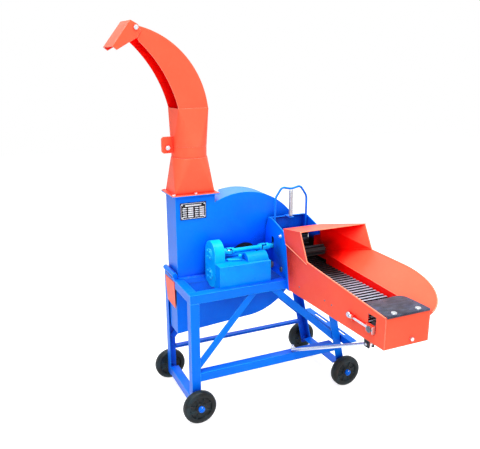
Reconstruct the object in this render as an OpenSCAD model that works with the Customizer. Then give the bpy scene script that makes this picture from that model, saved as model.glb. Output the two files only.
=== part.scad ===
// Chaff cutter on a wheeled angle-iron frame. Stalks ride the slat conveyor of the feed trough to a
// pair of feed rollers, the knife rotor cuts and throws them, and a swivelling chute blows them out.
// X runs along the frame, Y away from the feeding side, Z up from the ground, in millimetres.

/* [Frame] */
// Height of the top of the frame above the ground
frame_h = 584; // [570:1:600]
// Depth of the frame, front to back
frame_d = 360; // [352:1:372]
// Length of the top of the frame
frame_l = 698; // [694:1:730]
// Flange width of the angle iron
iron_w = 40; // [36:1:42]
// Thickness of the angle iron
iron_t = 4; // [3:0.5:5]
// Splay of the right-hand legs from the vertical, in degrees
leg_splay = 12; // [8:0.5:14]
// Height of the top of the long front rail between the legs
front_rail_h = 215; // [190:1:230]
// Height of the top of the long rear rail between the legs
rear_rail_h = 195; // [180:1:215]
// Flange width of the long rear rail
rear_rail_w = 25; // [20:1:40]
// Height of the top of the end rails near the axles
end_rail_h = 95; // [85:1:110]
// Width of a diagonal brace
brace_w = 30; // [22:1:34]
// Thickness of a diagonal brace
brace_t = 5; // [4:0.5:8]

/* [Wheels] */
// Diameter of a wheel
wheel_d = 150; // [130:1:160]
// Width of a wheel
wheel_w = 38; // [30:1:42]
// Diameter of the wheel's hub
hub_d = 44; // [36:1:60]
// Diameter of a stub axle
axle_d = 16; // [12:1:20]
// Length of the collar between leg and wheel
axle_collar = 14; // [8:1:18]

/* [Casing and rotor] */
// Outer radius of the upper casing
casing_r = 315; // [310:1:330]
// Depth of the upper casing along the shaft
casing_depth = 138; // [132:1:142]
// Outer radius of the lower casing
sump_r = 298; // [295:1:302]
// Thickness of the sheet metal
sheet = 3; // [2:0.5:3.5]
// Distance of the main shaft from the left end of the frame
shaft_x = 350; // [346:1:352]
// Height of the main shaft above the frame
shaft_up = 58; // [54:1:62]
// Diameter of the main shaft
shaft_d = 45; // [42:1:50]
// Diameter of the free end of the main shaft
shaft_end_d = 38; // [30:1:40]
// Radius swept by the knives and throwing vanes
knife_r = 284; // [276:1:288]
// Number of knives on the rotor
knife_count = 3; // [2:1:4]
// Diameter of the drive pulley
pulley_d = 280; // [200:1:320]
// Width of the drive pulley
pulley_w = 58; // [50:1:70]
// Left face of the tower that carries the chute
tower_x = 20; // [19:1:24]
// Width of the tower
tower_w = 185; // [170:1:200]
// Height of the tower above the frame
tower_h = 378; // [360:1:400]
// Width of the flange round the top of the tower
flange_lip = 16; // [12:1:20]

/* [Chute] */
// Turn of the chute from the left-hand direction, in degrees
chute_turn = 6; // [-40:1:40]
// Outer radius of the round collar that the chute turns on
collar_r = 75; // [68:1:78]
// Height of the square-to-round base
chute_base_h = 158; // [140:1:180]
// Width of the chute's channel
chute_w = 110; // [96:1:124]
// Radius of the back wall of the channel
chute_back_r = 381; // [365:1:395]
// Height of the bend's centre above the tower
bend_up = 328; // [318:1:340]
// Height of the straight transition above the collar's shoulder
transition_h = 212; // [200:1:225]
// Length of the deflector flap
flap_l = 128; // [110:1:140]

/* [Gearbox and feed] */
// Height of the lower roller's shaft above the frame
feed_up = 32; // [31:1:34]
// Distance of the rollers from the front of the casing
roller_back = 78; // [76:1:82]
// Tooth size of the spur gears
gear_module = 4; // [3.9:0.05:4.05]
// Teeth of each gear of the roller pair
roller_teeth = 23; // [23:1:23]
// Diameter of the upper roller over its ribs
upper_roller_d = 84; // [72:1:86]
// Diameter of the lower roller over its ribs
lower_roller_d = 76; // [68:1:78]
// Diameter of the press roller under the hood over its ribs
press_roller_d = 46; // [40:1:50]
// Travel of the upper roller
roller_lift = 30; // [15:1:34]
// Left face of the feed opening
feed_x = 460; // [456:1:464]
// Width of the feed opening between the trough's walls
feed_w = 189; // [180:1:192]
// Wire of the tension spring
spring_wire = 3; // [2:0.2:3.2]
// Outer diameter of the tension spring
spring_d = 19; // [15:0.5:22]
// Curls of the tension spring
spring_curls = 22; // [14:1:24]

/* [Trough] */
// Length of the trough in front of the frame
trough_l = 696; // [660:1:720]
// Height of the trough's outer end plate
trough_end_h = 121; // [112:1:126]
// Diameter of the conveyor's drums
drum_d = 44; // [40:1:46]
// Spacing of the conveyor's slats
slat_pitch = 22.5; // [20:0.5:30]
// Outward angle of the flared side, in degrees
flare_angle = 24; // [18:1:30]
// Width of the flared side
flare_w = 148; // [120:1:160]
// Diameter of the trough's support rod
rod_d = 14; // [10:1:16]

/* [Hidden] */
$fn = 64;

// Clearances
run_gap = 0.06;
face_gap = 0.3;

// Frame
leg_top = frame_h - iron_w;
axle_z = wheel_d / 2;
leg_foot = axle_z - 25;
function leg_shift(z) = (leg_top - z) * tan(leg_splay);
left_axle_x = iron_w / 2;
right_axle_x = frame_l + leg_shift(axle_z) - iron_w / 2 / cos(leg_splay);
cross_w = 25;
cross_t = 3;

// Casing
casing_rear = frame_d - 2;
casing_front = casing_rear - casing_depth;
shaft_z = frame_h + shaft_up;
cross_y = casing_front - 14;
sump_front = cross_y + cross_t;
sump_rear = frame_d - iron_t - brace_t - 1;
sump_top = frame_h - iron_t;
casing_z = frame_h + face_gap;
tower_top = frame_h + tower_h;
tower_r = tower_x + tower_w;
flange_t = 4;
hinge_r = 12;
hinge_pin_r = 7;
hinge_x = tower_x - hinge_r - 3;
hinge_z = frame_h + hinge_r + 5;
hinge_lug = 20;

// Rotor
shaft_r = shaft_d / 2;
knife_t = 7;
knife_y = cross_y + cross_w + 4;
disc_y = knife_y + 19;
disc_t = 12;
hub_r = 50;
bracket_t = 8;
bearing_y = frame_d + bracket_t;
bearing_l = 34;
pulley_y = bearing_y + bearing_l + 8;
pulley_end_y = pulley_y + pulley_w;
shaft_end_l = 36;
shaft_end_y = pulley_end_y + shaft_end_l;

// Gear train: pinion and lay gear about Y, bevel pair, then the roller pair about X
feed_z = frame_h + feed_up;
roller_y = casing_front - roller_back;
pair_distance = gear_module * roller_teeth;
upper_z = feed_z + pair_distance;
pinion_teeth = 14;
lay_teeth = 18;
lay_distance = gear_module * (pinion_teeth + lay_teeth) / 2;
lay_x = shaft_x - sqrt(pow(lay_distance, 2) - pow(shaft_z - feed_z, 2));
lay_angle = atan2(feed_z - shaft_z, lay_x - shaft_x);
bevel_module = 3;
bevel_pinion_teeth = 16;
bevel_crown_teeth = 24;
bevel_pinion_r = bevel_module * bevel_pinion_teeth / 2;
bevel_crown_r = bevel_module * bevel_crown_teeth / 2;
bevel_keep = 0.62;
box_x0 = shaft_x - 202;
box_x1 = shaft_x + 42;
box_y0 = roller_y - 117;
box_y1 = casing_front - 15;
box_top = frame_h + 96;
box_sump = feed_z - 50;
box_wall = 6;
cover_x1 = box_x0 + 47;
cover_r = pair_distance / 2 + 14;
gear_x0 = box_x0 + 12;
gear_w = 26;
gear_y0 = box_y1 - 21;
gear_l = 14;
lower_shaft_r = 15;
upper_shaft_r = 12;

// Feed box
plate_t = 4;
feed_r = feed_x + feed_w;
left_plate_x = feed_x;
right_plate_x = feed_r - plate_t;
inner_x0 = feed_x + plate_t;
inner_x1 = feed_r - plate_t;
plate_rear = casing_front - 3;
rim_y = roller_y + 38;
rim_z0 = upper_z + roller_lift + 26;
rim_z1 = upper_z + 126;
block_w = 9;
block_x0 = inner_x0 + 1;
block_x1 = inner_x1 - 1;
carriage_bar_z = upper_z + upper_roller_d / 2 + 14;
bail_r = 5;
bail_x0 = block_x0 + 6;
bail_x1 = block_x1 - 8;
bail_mid = (bail_x0 + bail_x1) / 2;
bend_swell = 0.4;
bail_height = 222;
bail_shoulder_z = upper_z + bail_height;
bail_peak_z = bail_shoulder_z + 50;
bail_dip_z = bail_shoulder_z + 38;
anchor_z = rim_z1 + 4;

// Cardan shaft between the gearbox and the upper roller
joint_x = cover_x1 + 43;
joint_end_x = feed_x - 48;
yoke_arm_l = 25;
yoke_arm_t = 5;
yoke_inside = 11;

// Trough
trough_in = -28;
trough_out = -trough_l;
trough_z_in = frame_h - 37;
trough_z_out = frame_h - 19;
end_top = trough_z_out + trough_end_h;
function floor_z(y) = trough_z_in + (trough_z_out - trough_z_in) * (y - trough_in) / (trough_out - trough_in);
hood_front = -117;
hood_rear = 31;
hood_front_z = frame_h + 256;
hood_rear_z = frame_h + 233;
panel_kink_y = -178;
panel_kink_z = frame_h + 140;
panel_rear_y = 8;
panel_rear_z = frame_h + 178;
bend_rear_z = frame_h + 108;
bend_out_z = frame_h + 80;
bend_slope = atan2(bend_rear_z - bend_out_z, hood_rear - trough_out);
hood_seam = 10;
hood_lap = 1.5;
flare_lap = 2;
drum_r = drum_d / 2;
drive_y = roller_y - 90;
tail_y = trough_out + 70;
chain_t = 4;
slat_t = 6;
slat_w = 10;
chain_r = drum_r + face_gap + chain_t;
conveyor_z = frame_h + 2 + chain_r + slat_t;
stalk_layer = 36;
press_y = drive_y - 60;
press_z = conveyor_z + chain_r + slat_t + stalk_layer + press_roller_d / 2;
press_shaft_r = 6;
loop_run = drive_y - tail_y;
loop_length = 2 * loop_run + 2 * PI * chain_r;
slat_count = floor(loop_length / slat_pitch);
conveyor_shaft_r = 12;
takeup_lug_y = tail_y + 100;
takeup_lug = 8;
rod_pivot_y = trough_out + 141;
rod_pivot_z = floor_z(rod_pivot_y) - 43;
rod_x = feed_x + 45;
rod_r = rod_d / 2;
rod_end_y = 10;
rod_end_z = front_rail_h + rod_r + bend_swell + face_gap;

// Chute
chute_x = tower_x + tower_w / 2;
chute_y = (casing_front + casing_rear) / 2;
base_z = tower_top + flange_t;
shoulder_z = base_z + flange_t + chute_base_h;
sleeve_r = collar_r + 0.5;
sleeve_l = 50;
shoulder_r = collar_r + 6;
transition_z = shoulder_z + transition_h;
bend_u = chute_back_r - 74;
bend_z = base_z + bend_up;
tip_u = bend_u - 94;
tip_z = bend_z + sqrt(pow(chute_back_r, 2) - pow(94, 2));
pivot_u = bend_u - 63;
pivot_z = bend_z + sqrt(pow(chute_back_r, 2) - pow(63, 2)) - 9;
flap_pin_r = 5;
seam_bead = 0.8;
back_u = bend_u - sqrt(pow(chute_back_r, 2) - pow(transition_z - bend_z, 2));
mouth_r = 538;
mouth_start_u = back_u + 140;
mouth_foot = [mouth_start_u, transition_z];
mouth_half = ([tip_u + 25, tip_z - 49] - mouth_foot) / 2;
mouth_reach = sqrt(pow(mouth_r, 2) - pow(norm(mouth_half), 2));
mouth_centre = mouth_foot + mouth_half + mouth_reach * [mouth_half[1], -mouth_half[0]] / norm(mouth_half);
flap_drop = 52;
flap_w = chute_w + 8;

// Overall box, so that the origin lies under its middle
flap_tip_u = pivot_u + 20 + flap_l * cos(flap_drop);
box_left = chute_x - flap_tip_u * cos(chute_turn) - flap_w / 2 * abs(sin(chute_turn));
box_right = right_axle_x + wheel_d / 2;
box_front = trough_out - 8;
box_back = shaft_end_y;
centre_x = (box_left + box_right) / 2;
centre_y = (box_front + box_back) / 2;

paint_blue = "#0a6cf0";
paint_orange = "#f2552c";
steel = "#b9bcc0";
dark_steel = "#4b4e52";
black = "#1b1b1d";

// Building blocks
module place() {
    translate([-centre_x, -centre_y, 0]) children();
}

module block(x, y, z) {
    translate([x[0], y[0], z[0]]) cube([x[1] - x[0], y[1] - y[0], z[1] - z[0]]);
}

module along_x(x0, x1) {
    translate([x0, 0, 0]) rotate([90, 0, 90]) linear_extrude(x1 - x0) children();
}

module along_y(y0, y1) {
    translate([0, y1, 0]) rotate([90, 0, 0]) linear_extrude(y1 - y0) children();
}

module rod_x(x0, x1, y, z, r) {
    translate([x0, y, z]) rotate([0, 90, 0]) cylinder(h = x1 - x0, r = r);
}

module rod_y(y0, y1, x, z, r) {
    translate([x, y0, z]) rotate([-90, 0, 0]) cylinder(h = y1 - y0, r = r);
}

module rod_z(z0, z1, x, y, r) {
    translate([x, y, z0]) cylinder(h = z1 - z0, r = r);
}

module bar(a, b, r) {
    d = b - a;
    translate(a) rotate([0, acos(d[2] / norm(d)), atan2(d[1], d[0])]) cylinder(h = norm(d), r = r);
}

module angle_profile(w, t) {
    polygon([[0, -w], [t, -w], [t, -t], [w, -t], [w, 0], [0, 0]]);
}

module stadium(y, z0, z1, r) {
    translate([y, z0]) circle(r);
    translate([y, z1]) circle(r);
    translate([y - r, z0]) square([2 * r, z1 - z0]);
}

module loop_outline(r) {
    translate([drive_y, conveyor_z]) circle(r);
    translate([tail_y, conveyor_z]) circle(r);
    translate([tail_y, conveyor_z - r]) square([loop_run, 2 * r]);
}

function polar(r, a) = [r * cos(a), r * sin(a)];

module gear_outline(teeth, m) {
    step = 360 / teeth;
    pitch_r = m * teeth / 2;
    root_r = pitch_r - 1.15 * m;
    tip_r = pitch_r + 0.85 * m;
    polygon([for (i = [0:teeth - 1], p = [[root_r, -0.27], [tip_r, -0.1], [tip_r, 0.1], [root_r, 0.27]])
        polar(p[0], (i + p[1]) * step)]);
}

module bevel_outline(teeth, m) {
    step = 360 / teeth;
    pitch_r = m * teeth / 2;
    root_r = pitch_r - 1.2 * m;
    tip_r = pitch_r + 0.5 * m;
    polygon([for (i = [0:teeth - 1], p = [[root_r, -0.24], [tip_r, -0.1], [tip_r, 0.1], [root_r, 0.24]])
        polar(p[0], (i + p[1]) * step)]);
}

module hex_x(x0, x1, y, z, across) {
    translate([x0, y, z]) rotate([0, 90, 0]) cylinder(h = x1 - x0, d = across / cos(30), $fn = 6);
}

module hex_y(y0, y1, x, z, across) {
    translate([x, y0, z]) rotate([-90, 0, 0]) cylinder(h = y1 - y0, d = across / cos(30), $fn = 6);
}

module hex_z(z0, z1, x, y, across) {
    translate([x, y, z0]) cylinder(h = z1 - z0, d = across / cos(30), $fn = 6);
}

// Frame
module splay() {
    translate([frame_l, 0, leg_top]) rotate([0, -leg_splay, 0]) translate([-frame_l, 0, -leg_top]) children();
}

module mirror_depth() {
    translate([0, frame_d, 0]) mirror([0, 1, 0]) children();
}

module left_leg() {
    difference() {
        translate([0, 0, leg_foot]) linear_extrude(leg_top - leg_foot)
            polygon([[0, 0], [iron_w, 0], [iron_w, iron_t], [iron_t, iron_t], [iron_t, iron_w], [0, iron_w]]);
        rod_y(-1, iron_t + 1, left_axle_x, axle_z, axle_d / 2);
    }
}

module right_leg() {
    difference() {
        intersection() {
            splay() translate([frame_l, 0, -frame_h]) linear_extrude(3 * frame_h)
                polygon([[-iron_w, 0], [0, 0], [0, iron_w], [-iron_t, iron_w], [-iron_t, iron_t], [-iron_w, iron_t]]);
            block([0, 2 * frame_l], [-1, frame_d], [leg_foot, leg_top]);
        }
        rod_y(-1, iron_t + 1, right_axle_x, axle_z, axle_d / 2);
    }
}

module left_legs() {
    color(paint_blue) {
        left_leg();
        mirror_depth() left_leg();
    }
}

module right_legs() {
    color(paint_blue) {
        right_leg();
        mirror_depth() right_leg();
    }
}

module long_rail() {
    along_x(0, frame_l) translate([0, frame_h]) angle_profile(iron_w, iron_t);
}

module top_long_rails() {
    color(paint_blue) {
        long_rail();
        mirror_depth() long_rail();
    }
}

module end_rail() {
    block([0, iron_w], [iron_w, frame_d - iron_w], [frame_h - iron_t, frame_h]);
    block([0, iron_t], [iron_t, frame_d - iron_t], [leg_top, frame_h - iron_t]);
}

module top_end_rails() {
    color(paint_blue) {
        end_rail();
        translate([frame_l, 0, 0]) mirror([1, 0, 0]) end_rail();
    }
}

module cross_rail() {
    color(paint_blue) along_x(iron_w, frame_l - iron_w) translate([cross_y, frame_h])
        angle_profile(cross_w, cross_t);
}

module lower_long_rail(h, w) {
    difference() {
        along_x(iron_w, frame_l + leg_shift(0)) translate([0, h]) angle_profile(w, iron_t);
        splay() block([frame_l - iron_w, 2 * frame_l], [-1, iron_w + 1], [-frame_h, 2 * frame_h]);
    }
}

module lower_long_rails() {
    color(paint_blue) {
        lower_long_rail(front_rail_h, iron_w);
        mirror_depth() lower_long_rail(rear_rail_h, rear_rail_w);
    }
}

module lower_end_rail(top) {
    block([0, iron_w], [iron_w, frame_d - iron_w], [top - iron_t, top]);
    block([0, iron_t], [iron_w, frame_d - iron_w], [top - iron_w, top - iron_t]);
}

module lower_end_rails() {
    color(paint_blue) {
        lower_end_rail(end_rail_h);
        splay() translate([frame_l, 0, 0]) mirror([1, 0, 0])
            lower_end_rail(leg_top - (leg_top - end_rail_h) / cos(leg_splay));
    }
}

module brace(a, b) {
    d = b - a;
    translate([a[0], iron_t, a[1]]) rotate([0, -atan2(d[1], d[0]), 0])
        translate([0, 0, -brace_w / 2]) cube([norm(d), brace_t, brace_w]);
}

module brace_pair() {
    brace_top = leg_top + 14;
    brace_foot = front_rail_h + 22;
    brace([iron_w / 2 + 2, brace_foot], [shaft_x - 45, brace_top]);
    brace([frame_l + leg_shift(brace_foot) - iron_w / 2 - 4, brace_foot], [shaft_x + 42, brace_top]);
}

module braces() {
    color(paint_blue) {
        brace_pair();
        mirror_depth() brace_pair();
    }
}

// Slotted rail for the feet of a motor, outside the right-hand legs
motor_rail_h = 250;
motor_rail_w = 36;
motor_rail_t = 5;
motor_slot_w = 13;
motor_slot_l = 120;
motor_slot_pitch = 160;
motor_rail_y0 = -80;
motor_rail_y1 = frame_d - 12;
motor_rail_x = frame_l + leg_shift(motor_rail_h - motor_rail_w);
motor_slot_x = motor_rail_x + motor_rail_t + (motor_rail_w - motor_rail_t) / 2;
motor_slot_y = (motor_rail_y0 + motor_rail_y1) / 2;

module motor_slot(y) {
    for (end = [-1, 1])
        rod_z(motor_rail_h - 9, motor_rail_h + 1, motor_slot_x, y + end * (motor_slot_l - motor_slot_w) / 2,
            motor_slot_w / 2);
    block([motor_slot_x - motor_slot_w / 2, motor_slot_x + motor_slot_w / 2],
        [y - (motor_slot_l - motor_slot_w) / 2, y + (motor_slot_l - motor_slot_w) / 2],
        [motor_rail_h - 9, motor_rail_h + 1]);
}

module motor_rail() {
    chamfer = 22;
    low = motor_rail_h - motor_rail_w;
    color(paint_blue) difference() {
        union() {
            along_x(motor_rail_x, motor_rail_x + motor_rail_t)
                polygon([[motor_rail_y0 + chamfer, low], [motor_rail_y1, low], [motor_rail_y1, motor_rail_h],
                    [motor_rail_y0, motor_rail_h], [motor_rail_y0, low + chamfer]]);
            block([motor_rail_x, motor_rail_x + motor_rail_w], [motor_rail_y0, motor_rail_y1],
                [motor_rail_h - motor_rail_t, motor_rail_h]);
        }
        for (side = [-1, 1]) motor_slot(motor_slot_y + side * motor_slot_pitch / 2);
    }
}

module side_guard() {
    color(paint_orange) along_x(-2, 0)
        polygon([[casing_front - 12, frame_h - 10], [frame_d - 14, frame_h - 16],
            [frame_d - 46, frame_h - 130], [casing_front - 16, frame_h - 134]]);
}

// Wheels
module stub_axle(x) {
    r = axle_d / 2;
    wheel_out = -axle_collar - wheel_w - 2 * face_gap;
    rod_y(wheel_out - 12, iron_t, x, axle_z, r);
    rod_y(-axle_collar, 0, x, axle_z, r + 7);
    hex_y(iron_t, iron_t + 9, x, axle_z, 24);
    rod_y(wheel_out - 9, wheel_out, x, axle_z, r + 6);
}

module stub_axles() {
    color(steel) for (x = [left_axle_x, right_axle_x]) {
        stub_axle(x);
        mirror_depth() stub_axle(x);
    }
}

module wheel(x) {
    r = wheel_d / 2;
    half = wheel_w / 2;
    rim = r * 0.74;
    translate([x, -axle_collar - face_gap - half, axle_z]) rotate([90, 0, 0]) rotate_extrude()
        polygon([[axle_d / 2 + run_gap, -half], [hub_d / 2, -half], [hub_d / 2 + 2, -half + 4],
            [rim - 3, -half + 4], [rim, -half + 1], [r - 8, -half + 1], [r - 2, -half + 5], [r, -half + 10],
            [r, half - 10], [r - 2, half - 5], [r - 8, half - 1], [rim, half - 1], [rim - 3, half - 4],
            [hub_d / 2 + 2, half - 4], [hub_d / 2, half], [axle_d / 2 + run_gap, half]]);
}

module front_left_wheel() {
    color(black) wheel(left_axle_x);
}

module front_right_wheel() {
    color(black) wheel(right_axle_x);
}

module rear_left_wheel() {
    color(black) mirror_depth() wheel(left_axle_x);
}

module rear_right_wheel() {
    color(black) mirror_depth() wheel(right_axle_x);
}

// Casing
sump_x = iron_t + 4;
sump_fall = 25;

module sump_outline(inset) {
    r = sump_r - inset;
    floor_mid = shaft_z - r;
    intersection() {
        union() {
            translate([shaft_x, shaft_z]) circle(r, $fn = 128);
            polygon([[sump_x + inset, shaft_z], [sump_x + inset, floor_mid - sump_fall], [shaft_x, floor_mid],
                [shaft_x, shaft_z]]);
        }
        square([frame_l, sump_top + inset]);
    }
}

module lower_casing() {
    color(paint_blue) difference() {
        along_y(sump_front, sump_rear) sump_outline(0);
        along_y(sump_front + sheet, sump_rear - sheet) sump_outline(sheet);
    }
}

module casing_outline(inset) {
    translate([shaft_x, shaft_z]) circle(casing_r - inset, $fn = 128);
    translate([tower_x + inset, frame_h - 1]) square([tower_w - 2 * inset, tower_h + 1 + inset]);
}

module above_frame() {
    intersection() {
        children();
        block([-frame_l, 2 * frame_l], [-frame_d, 2 * frame_d], [casing_z, 3 * frame_h]);
    }
}

shaft_hole_r = 72;
throat_top = upper_z + upper_roller_d / 2 - 6;

module shaft_notch(y0, y1, r) {
    rod_y(y0, y1, shaft_x, shaft_z, r);
    block([shaft_x - r, shaft_x + r], [y0, y1], [frame_h - 1, shaft_z]);
}

module upper_casing() {
    tube_y0 = casing_front + hinge_lug;
    tube_y1 = casing_rear - hinge_lug;
    color(paint_blue) difference() {
        union() {
            above_frame() along_y(casing_front, casing_rear) casing_outline(0);
            block([tower_x, shaft_x - shaft_hole_r - 8], [casing_front - 13, casing_front], [casing_z, casing_z + 4]);
            block([tower_x - flange_lip, tower_r + flange_lip], [casing_front - flange_lip, casing_rear + flange_lip],
                [tower_top, tower_top + flange_t]);
            rod_y(tube_y0, tube_y1, hinge_x, hinge_z, hinge_r);
            block([hinge_x, tower_x + 1], [tube_y0, tube_y1], [hinge_z - 4, hinge_z + 4]);
        }
        along_y(casing_front + sheet, casing_rear - sheet) casing_outline(sheet);
        block([tower_x + sheet, tower_r - sheet], [casing_front + sheet, casing_rear - sheet],
            [tower_top - 1, tower_top + flange_t + 1]);
        shaft_notch(casing_front - 1, casing_front + sheet + 1, shaft_hole_r);
        shaft_notch(casing_rear - sheet - 1, casing_rear + 1, shaft_hole_r - 12);
        block([inner_x0, inner_x1], [casing_front - 1, casing_front + sheet + 1], [frame_h - 1, throat_top]);
        rod_y(tube_y0 - 1, tube_y1 + 1, hinge_x, hinge_z, hinge_pin_r + run_gap);
    }
}

module hinge_lug_at(y0, y1) {
    rod_y(y0, y1, hinge_x, hinge_z, hinge_r);
    block([0, hinge_x + hinge_r], [y0, y1], [frame_h, hinge_z]);
}

module casing_hinge() {
    color(paint_blue) {
        hinge_lug_at(casing_front - 4, casing_front + hinge_lug - face_gap);
        hinge_lug_at(casing_rear - hinge_lug + face_gap, casing_rear);
        rod_y(casing_front - 4, casing_rear, hinge_x, hinge_z, hinge_pin_r);
    }
}

plate_x = tower_x + 20;
plate_w = 122;
plate_h = 76;
plate_top = tower_top - 30;

module nameplate() {
    color(black) {
        block([plate_x, plate_x + plate_w], [casing_front - 1.5, casing_front], [plate_top - plate_h, plate_top]);
        difference() {
            block([plate_x, plate_x + plate_w], [casing_front - 2.5, casing_front - 1], [plate_top - plate_h, plate_top]);
            block([plate_x + 4, plate_x + plate_w - 4], [casing_front - 3, casing_front],
                [plate_top - plate_h + 4, plate_top - 4]);
        }
    }
}

// Chute
module base_shape(inset) {
    hull() {
        block([tower_x + inset, tower_r - inset], [casing_front + inset, casing_rear - inset],
            [base_z + flange_t - 1, base_z + flange_t]);
        rod_z(shoulder_z - 1, shoulder_z, chute_x, chute_y, shoulder_r - inset, $fn = 32);
    }
}

module chute_base() {
    color(paint_orange) {
        difference() {
            block([tower_x - flange_lip, tower_r + flange_lip], [casing_front - flange_lip, casing_rear + flange_lip],
                [base_z, base_z + flange_t]);
            block([tower_x + sheet, tower_r - sheet], [casing_front + sheet, casing_rear - sheet],
                [base_z - 1, base_z + flange_t + 1]);
            base_bolt_row(base_z - 1, base_z + flange_t + 1, base_bolt_r);
        }
        difference() {
            base_shape(0);
            translate([0, 0, -0.5]) base_shape(sheet);
            rod_z(shoulder_z - 5, shoulder_z + 1, chute_x, chute_y, collar_r - sheet);
        }
        difference() {
            rod_z(shoulder_z - 3, shoulder_z + sleeve_l - 8, chute_x, chute_y, collar_r);
            rod_z(shoulder_z - 4, shoulder_z + sleeve_l - 7, chute_x, chute_y, collar_r - sheet);
        }
    }
}

base_bolt_r = 4;

module base_bolt_row(z0, z1, r) {
    for (x = [tower_x - flange_lip / 2, chute_x, tower_r + flange_lip / 2],
        y = [casing_front - flange_lip / 2, casing_rear + flange_lip / 2])
        rod_z(z0, z1, x, y, r);
}

module chute_base_bolts() {
    color(steel) {
        base_bolt_row(base_z, base_z + flange_t + 2, base_bolt_r);
        for (x = [tower_x - flange_lip / 2, chute_x, tower_r + flange_lip / 2],
            y = [casing_front - flange_lip / 2, casing_rear + flange_lip / 2])
            hex_z(base_z + flange_t, base_z + flange_t + 6, x, y, 13);
    }
}

module chute_place() {
    translate([chute_x, chute_y, 0]) rotate([0, 0, 180 + chute_turn]) children();
}

// Round-to-rectangular stretch; the cut for its inside runs past both ends
module transition_shape(inset, past) {
    half = chute_w / 2 + seam_bead - inset;
    low = shoulder_z + sleeve_l - 2 - past;
    high = transition_z + past;
    hull() {
        rod_z(low, low + 1, 0, 0, sleeve_r + sheet + seam_bead - inset, $fn = 32);
        block([back_u - seam_bead + inset, mouth_start_u + seam_bead - inset], [-half, half], [high - 1, high]);
    }
}

module channel_side() {
    difference() {
        intersection() {
            translate([bend_u, bend_z]) circle(chute_back_r, $fn = 160);
            polygon([[-120, transition_z - 0.6], [100, transition_z - 0.6], [tip_u + 25, tip_z - 41],
                [pivot_u + 14, pivot_z - 12], [pivot_u + 8, pivot_z + 40], [-120, pivot_z + 40]]);
        }
        translate(mouth_centre) circle(mouth_r, $fn = 160);
        translate([pivot_u, pivot_z]) circle(flap_pin_r);
    }
}

module channel_back() {
    intersection() {
        difference() {
            translate([bend_u, bend_z]) circle(chute_back_r, $fn = 160);
            translate([bend_u, bend_z]) circle(chute_back_r - sheet, $fn = 160);
        }
        polygon([[-120, transition_z - 0.6], [bend_u, transition_z - 0.6], [tip_u, tip_z - 60], [tip_u, tip_z + 40],
            [-120, tip_z + 40]]);
    }
}

lug_u0 = 74;
lug_u1 = 130;
lug_hole_u = 104;
lug_z0 = shoulder_z + 20;
lug_z1 = shoulder_z + 92;
lug_hole_z = shoulder_z + 44;
lug_bolt_r = 6;

module chute() {
    half = chute_w / 2;
    color(paint_orange) chute_place() {
        difference() {
            rod_z(shoulder_z + face_gap, shoulder_z + sleeve_l, 0, 0, sleeve_r + sheet);
            rod_z(shoulder_z, shoulder_z + sleeve_l + 1, 0, 0, sleeve_r);
        }
        difference() {
            transition_shape(0, 0);
            transition_shape(sheet, 1);
        }
        difference() {
            along_y(-4, 4) polygon([[lug_u0, lug_z0], [lug_u1 - 8, lug_z0], [lug_u1, lug_z0 + 8],
                [lug_u1, lug_z1 - 8], [lug_u1 - 8, lug_z1], [lug_u0, lug_z1]]);
            rod_y(-5, 5, lug_hole_u, lug_hole_z, lug_bolt_r);
            rod_z(lug_z0 - 1, lug_z1 + 1, 0, 0, sleeve_r);
        }
        along_y(half - sheet, half) channel_side();
        along_y(-half, -half + sheet) channel_side();
        along_y(-half + sheet, half - sheet) channel_back();
    }
}

module pivot_bolt() {
    rod_y(chute_w / 2 - sheet, flap_w / 2 + 5, pivot_u, pivot_z, flap_pin_r);
    hex_y(flap_w / 2 + face_gap, flap_w / 2 + 6, pivot_u, pivot_z, 17);
}

module chute_bolts() {
    color(steel) chute_place() {
        pivot_bolt();
        mirror([0, 1, 0]) pivot_bolt();
        rod_y(-14, 14, lug_hole_u, lug_hole_z, lug_bolt_r);
        hex_y(4, 11, lug_hole_u, lug_hole_z, 19);
        hex_y(-11, -4, lug_hole_u, lug_hole_z, 19);
    }
}

function flap_point(along, down) = [pivot_u + 20 + along * cos(flap_drop) - down * sin(flap_drop),
    pivot_z + 28 - along * sin(flap_drop) - down * cos(flap_drop)];

module flap_cheek() {
    difference() {
        union() {
            polygon([flap_point(0, 0), flap_point(flap_l, 0), flap_point(flap_l, 22), flap_point(flap_l * 0.55, 46),
                [pivot_u - 6, pivot_z - 38], [pivot_u - 22, pivot_z - 10], [pivot_u - 10, pivot_z + 12]]);
            translate([pivot_u, pivot_z]) circle(14);
        }
        translate([pivot_u, pivot_z]) circle(flap_pin_r + run_gap);
    }
}

module chute_flap() {
    half = flap_w / 2;
    color(paint_orange) chute_place() {
        along_y(half - sheet, half) flap_cheek();
        along_y(-half, -half + sheet) flap_cheek();
        along_y(-half + sheet, half - sheet)
            polygon([flap_point(0, 0), flap_point(flap_l, 0), flap_point(flap_l, sheet), flap_point(0, sheet)]);
    }
}

// Rotor
module main_shaft() {
    color(steel) {
        rod_y(gear_y0 - 4, pulley_end_y, shaft_x, shaft_z, shaft_r);
        rod_y(pulley_end_y, shaft_end_y, shaft_x, shaft_z, shaft_end_d / 2);
        translate([shaft_x, gear_y0 + gear_l, shaft_z]) rotate([90, 0, 0]) linear_extrude(gear_l)
            rotate(lay_angle) gear_outline(pinion_teeth, gear_module);
    }
}

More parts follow.
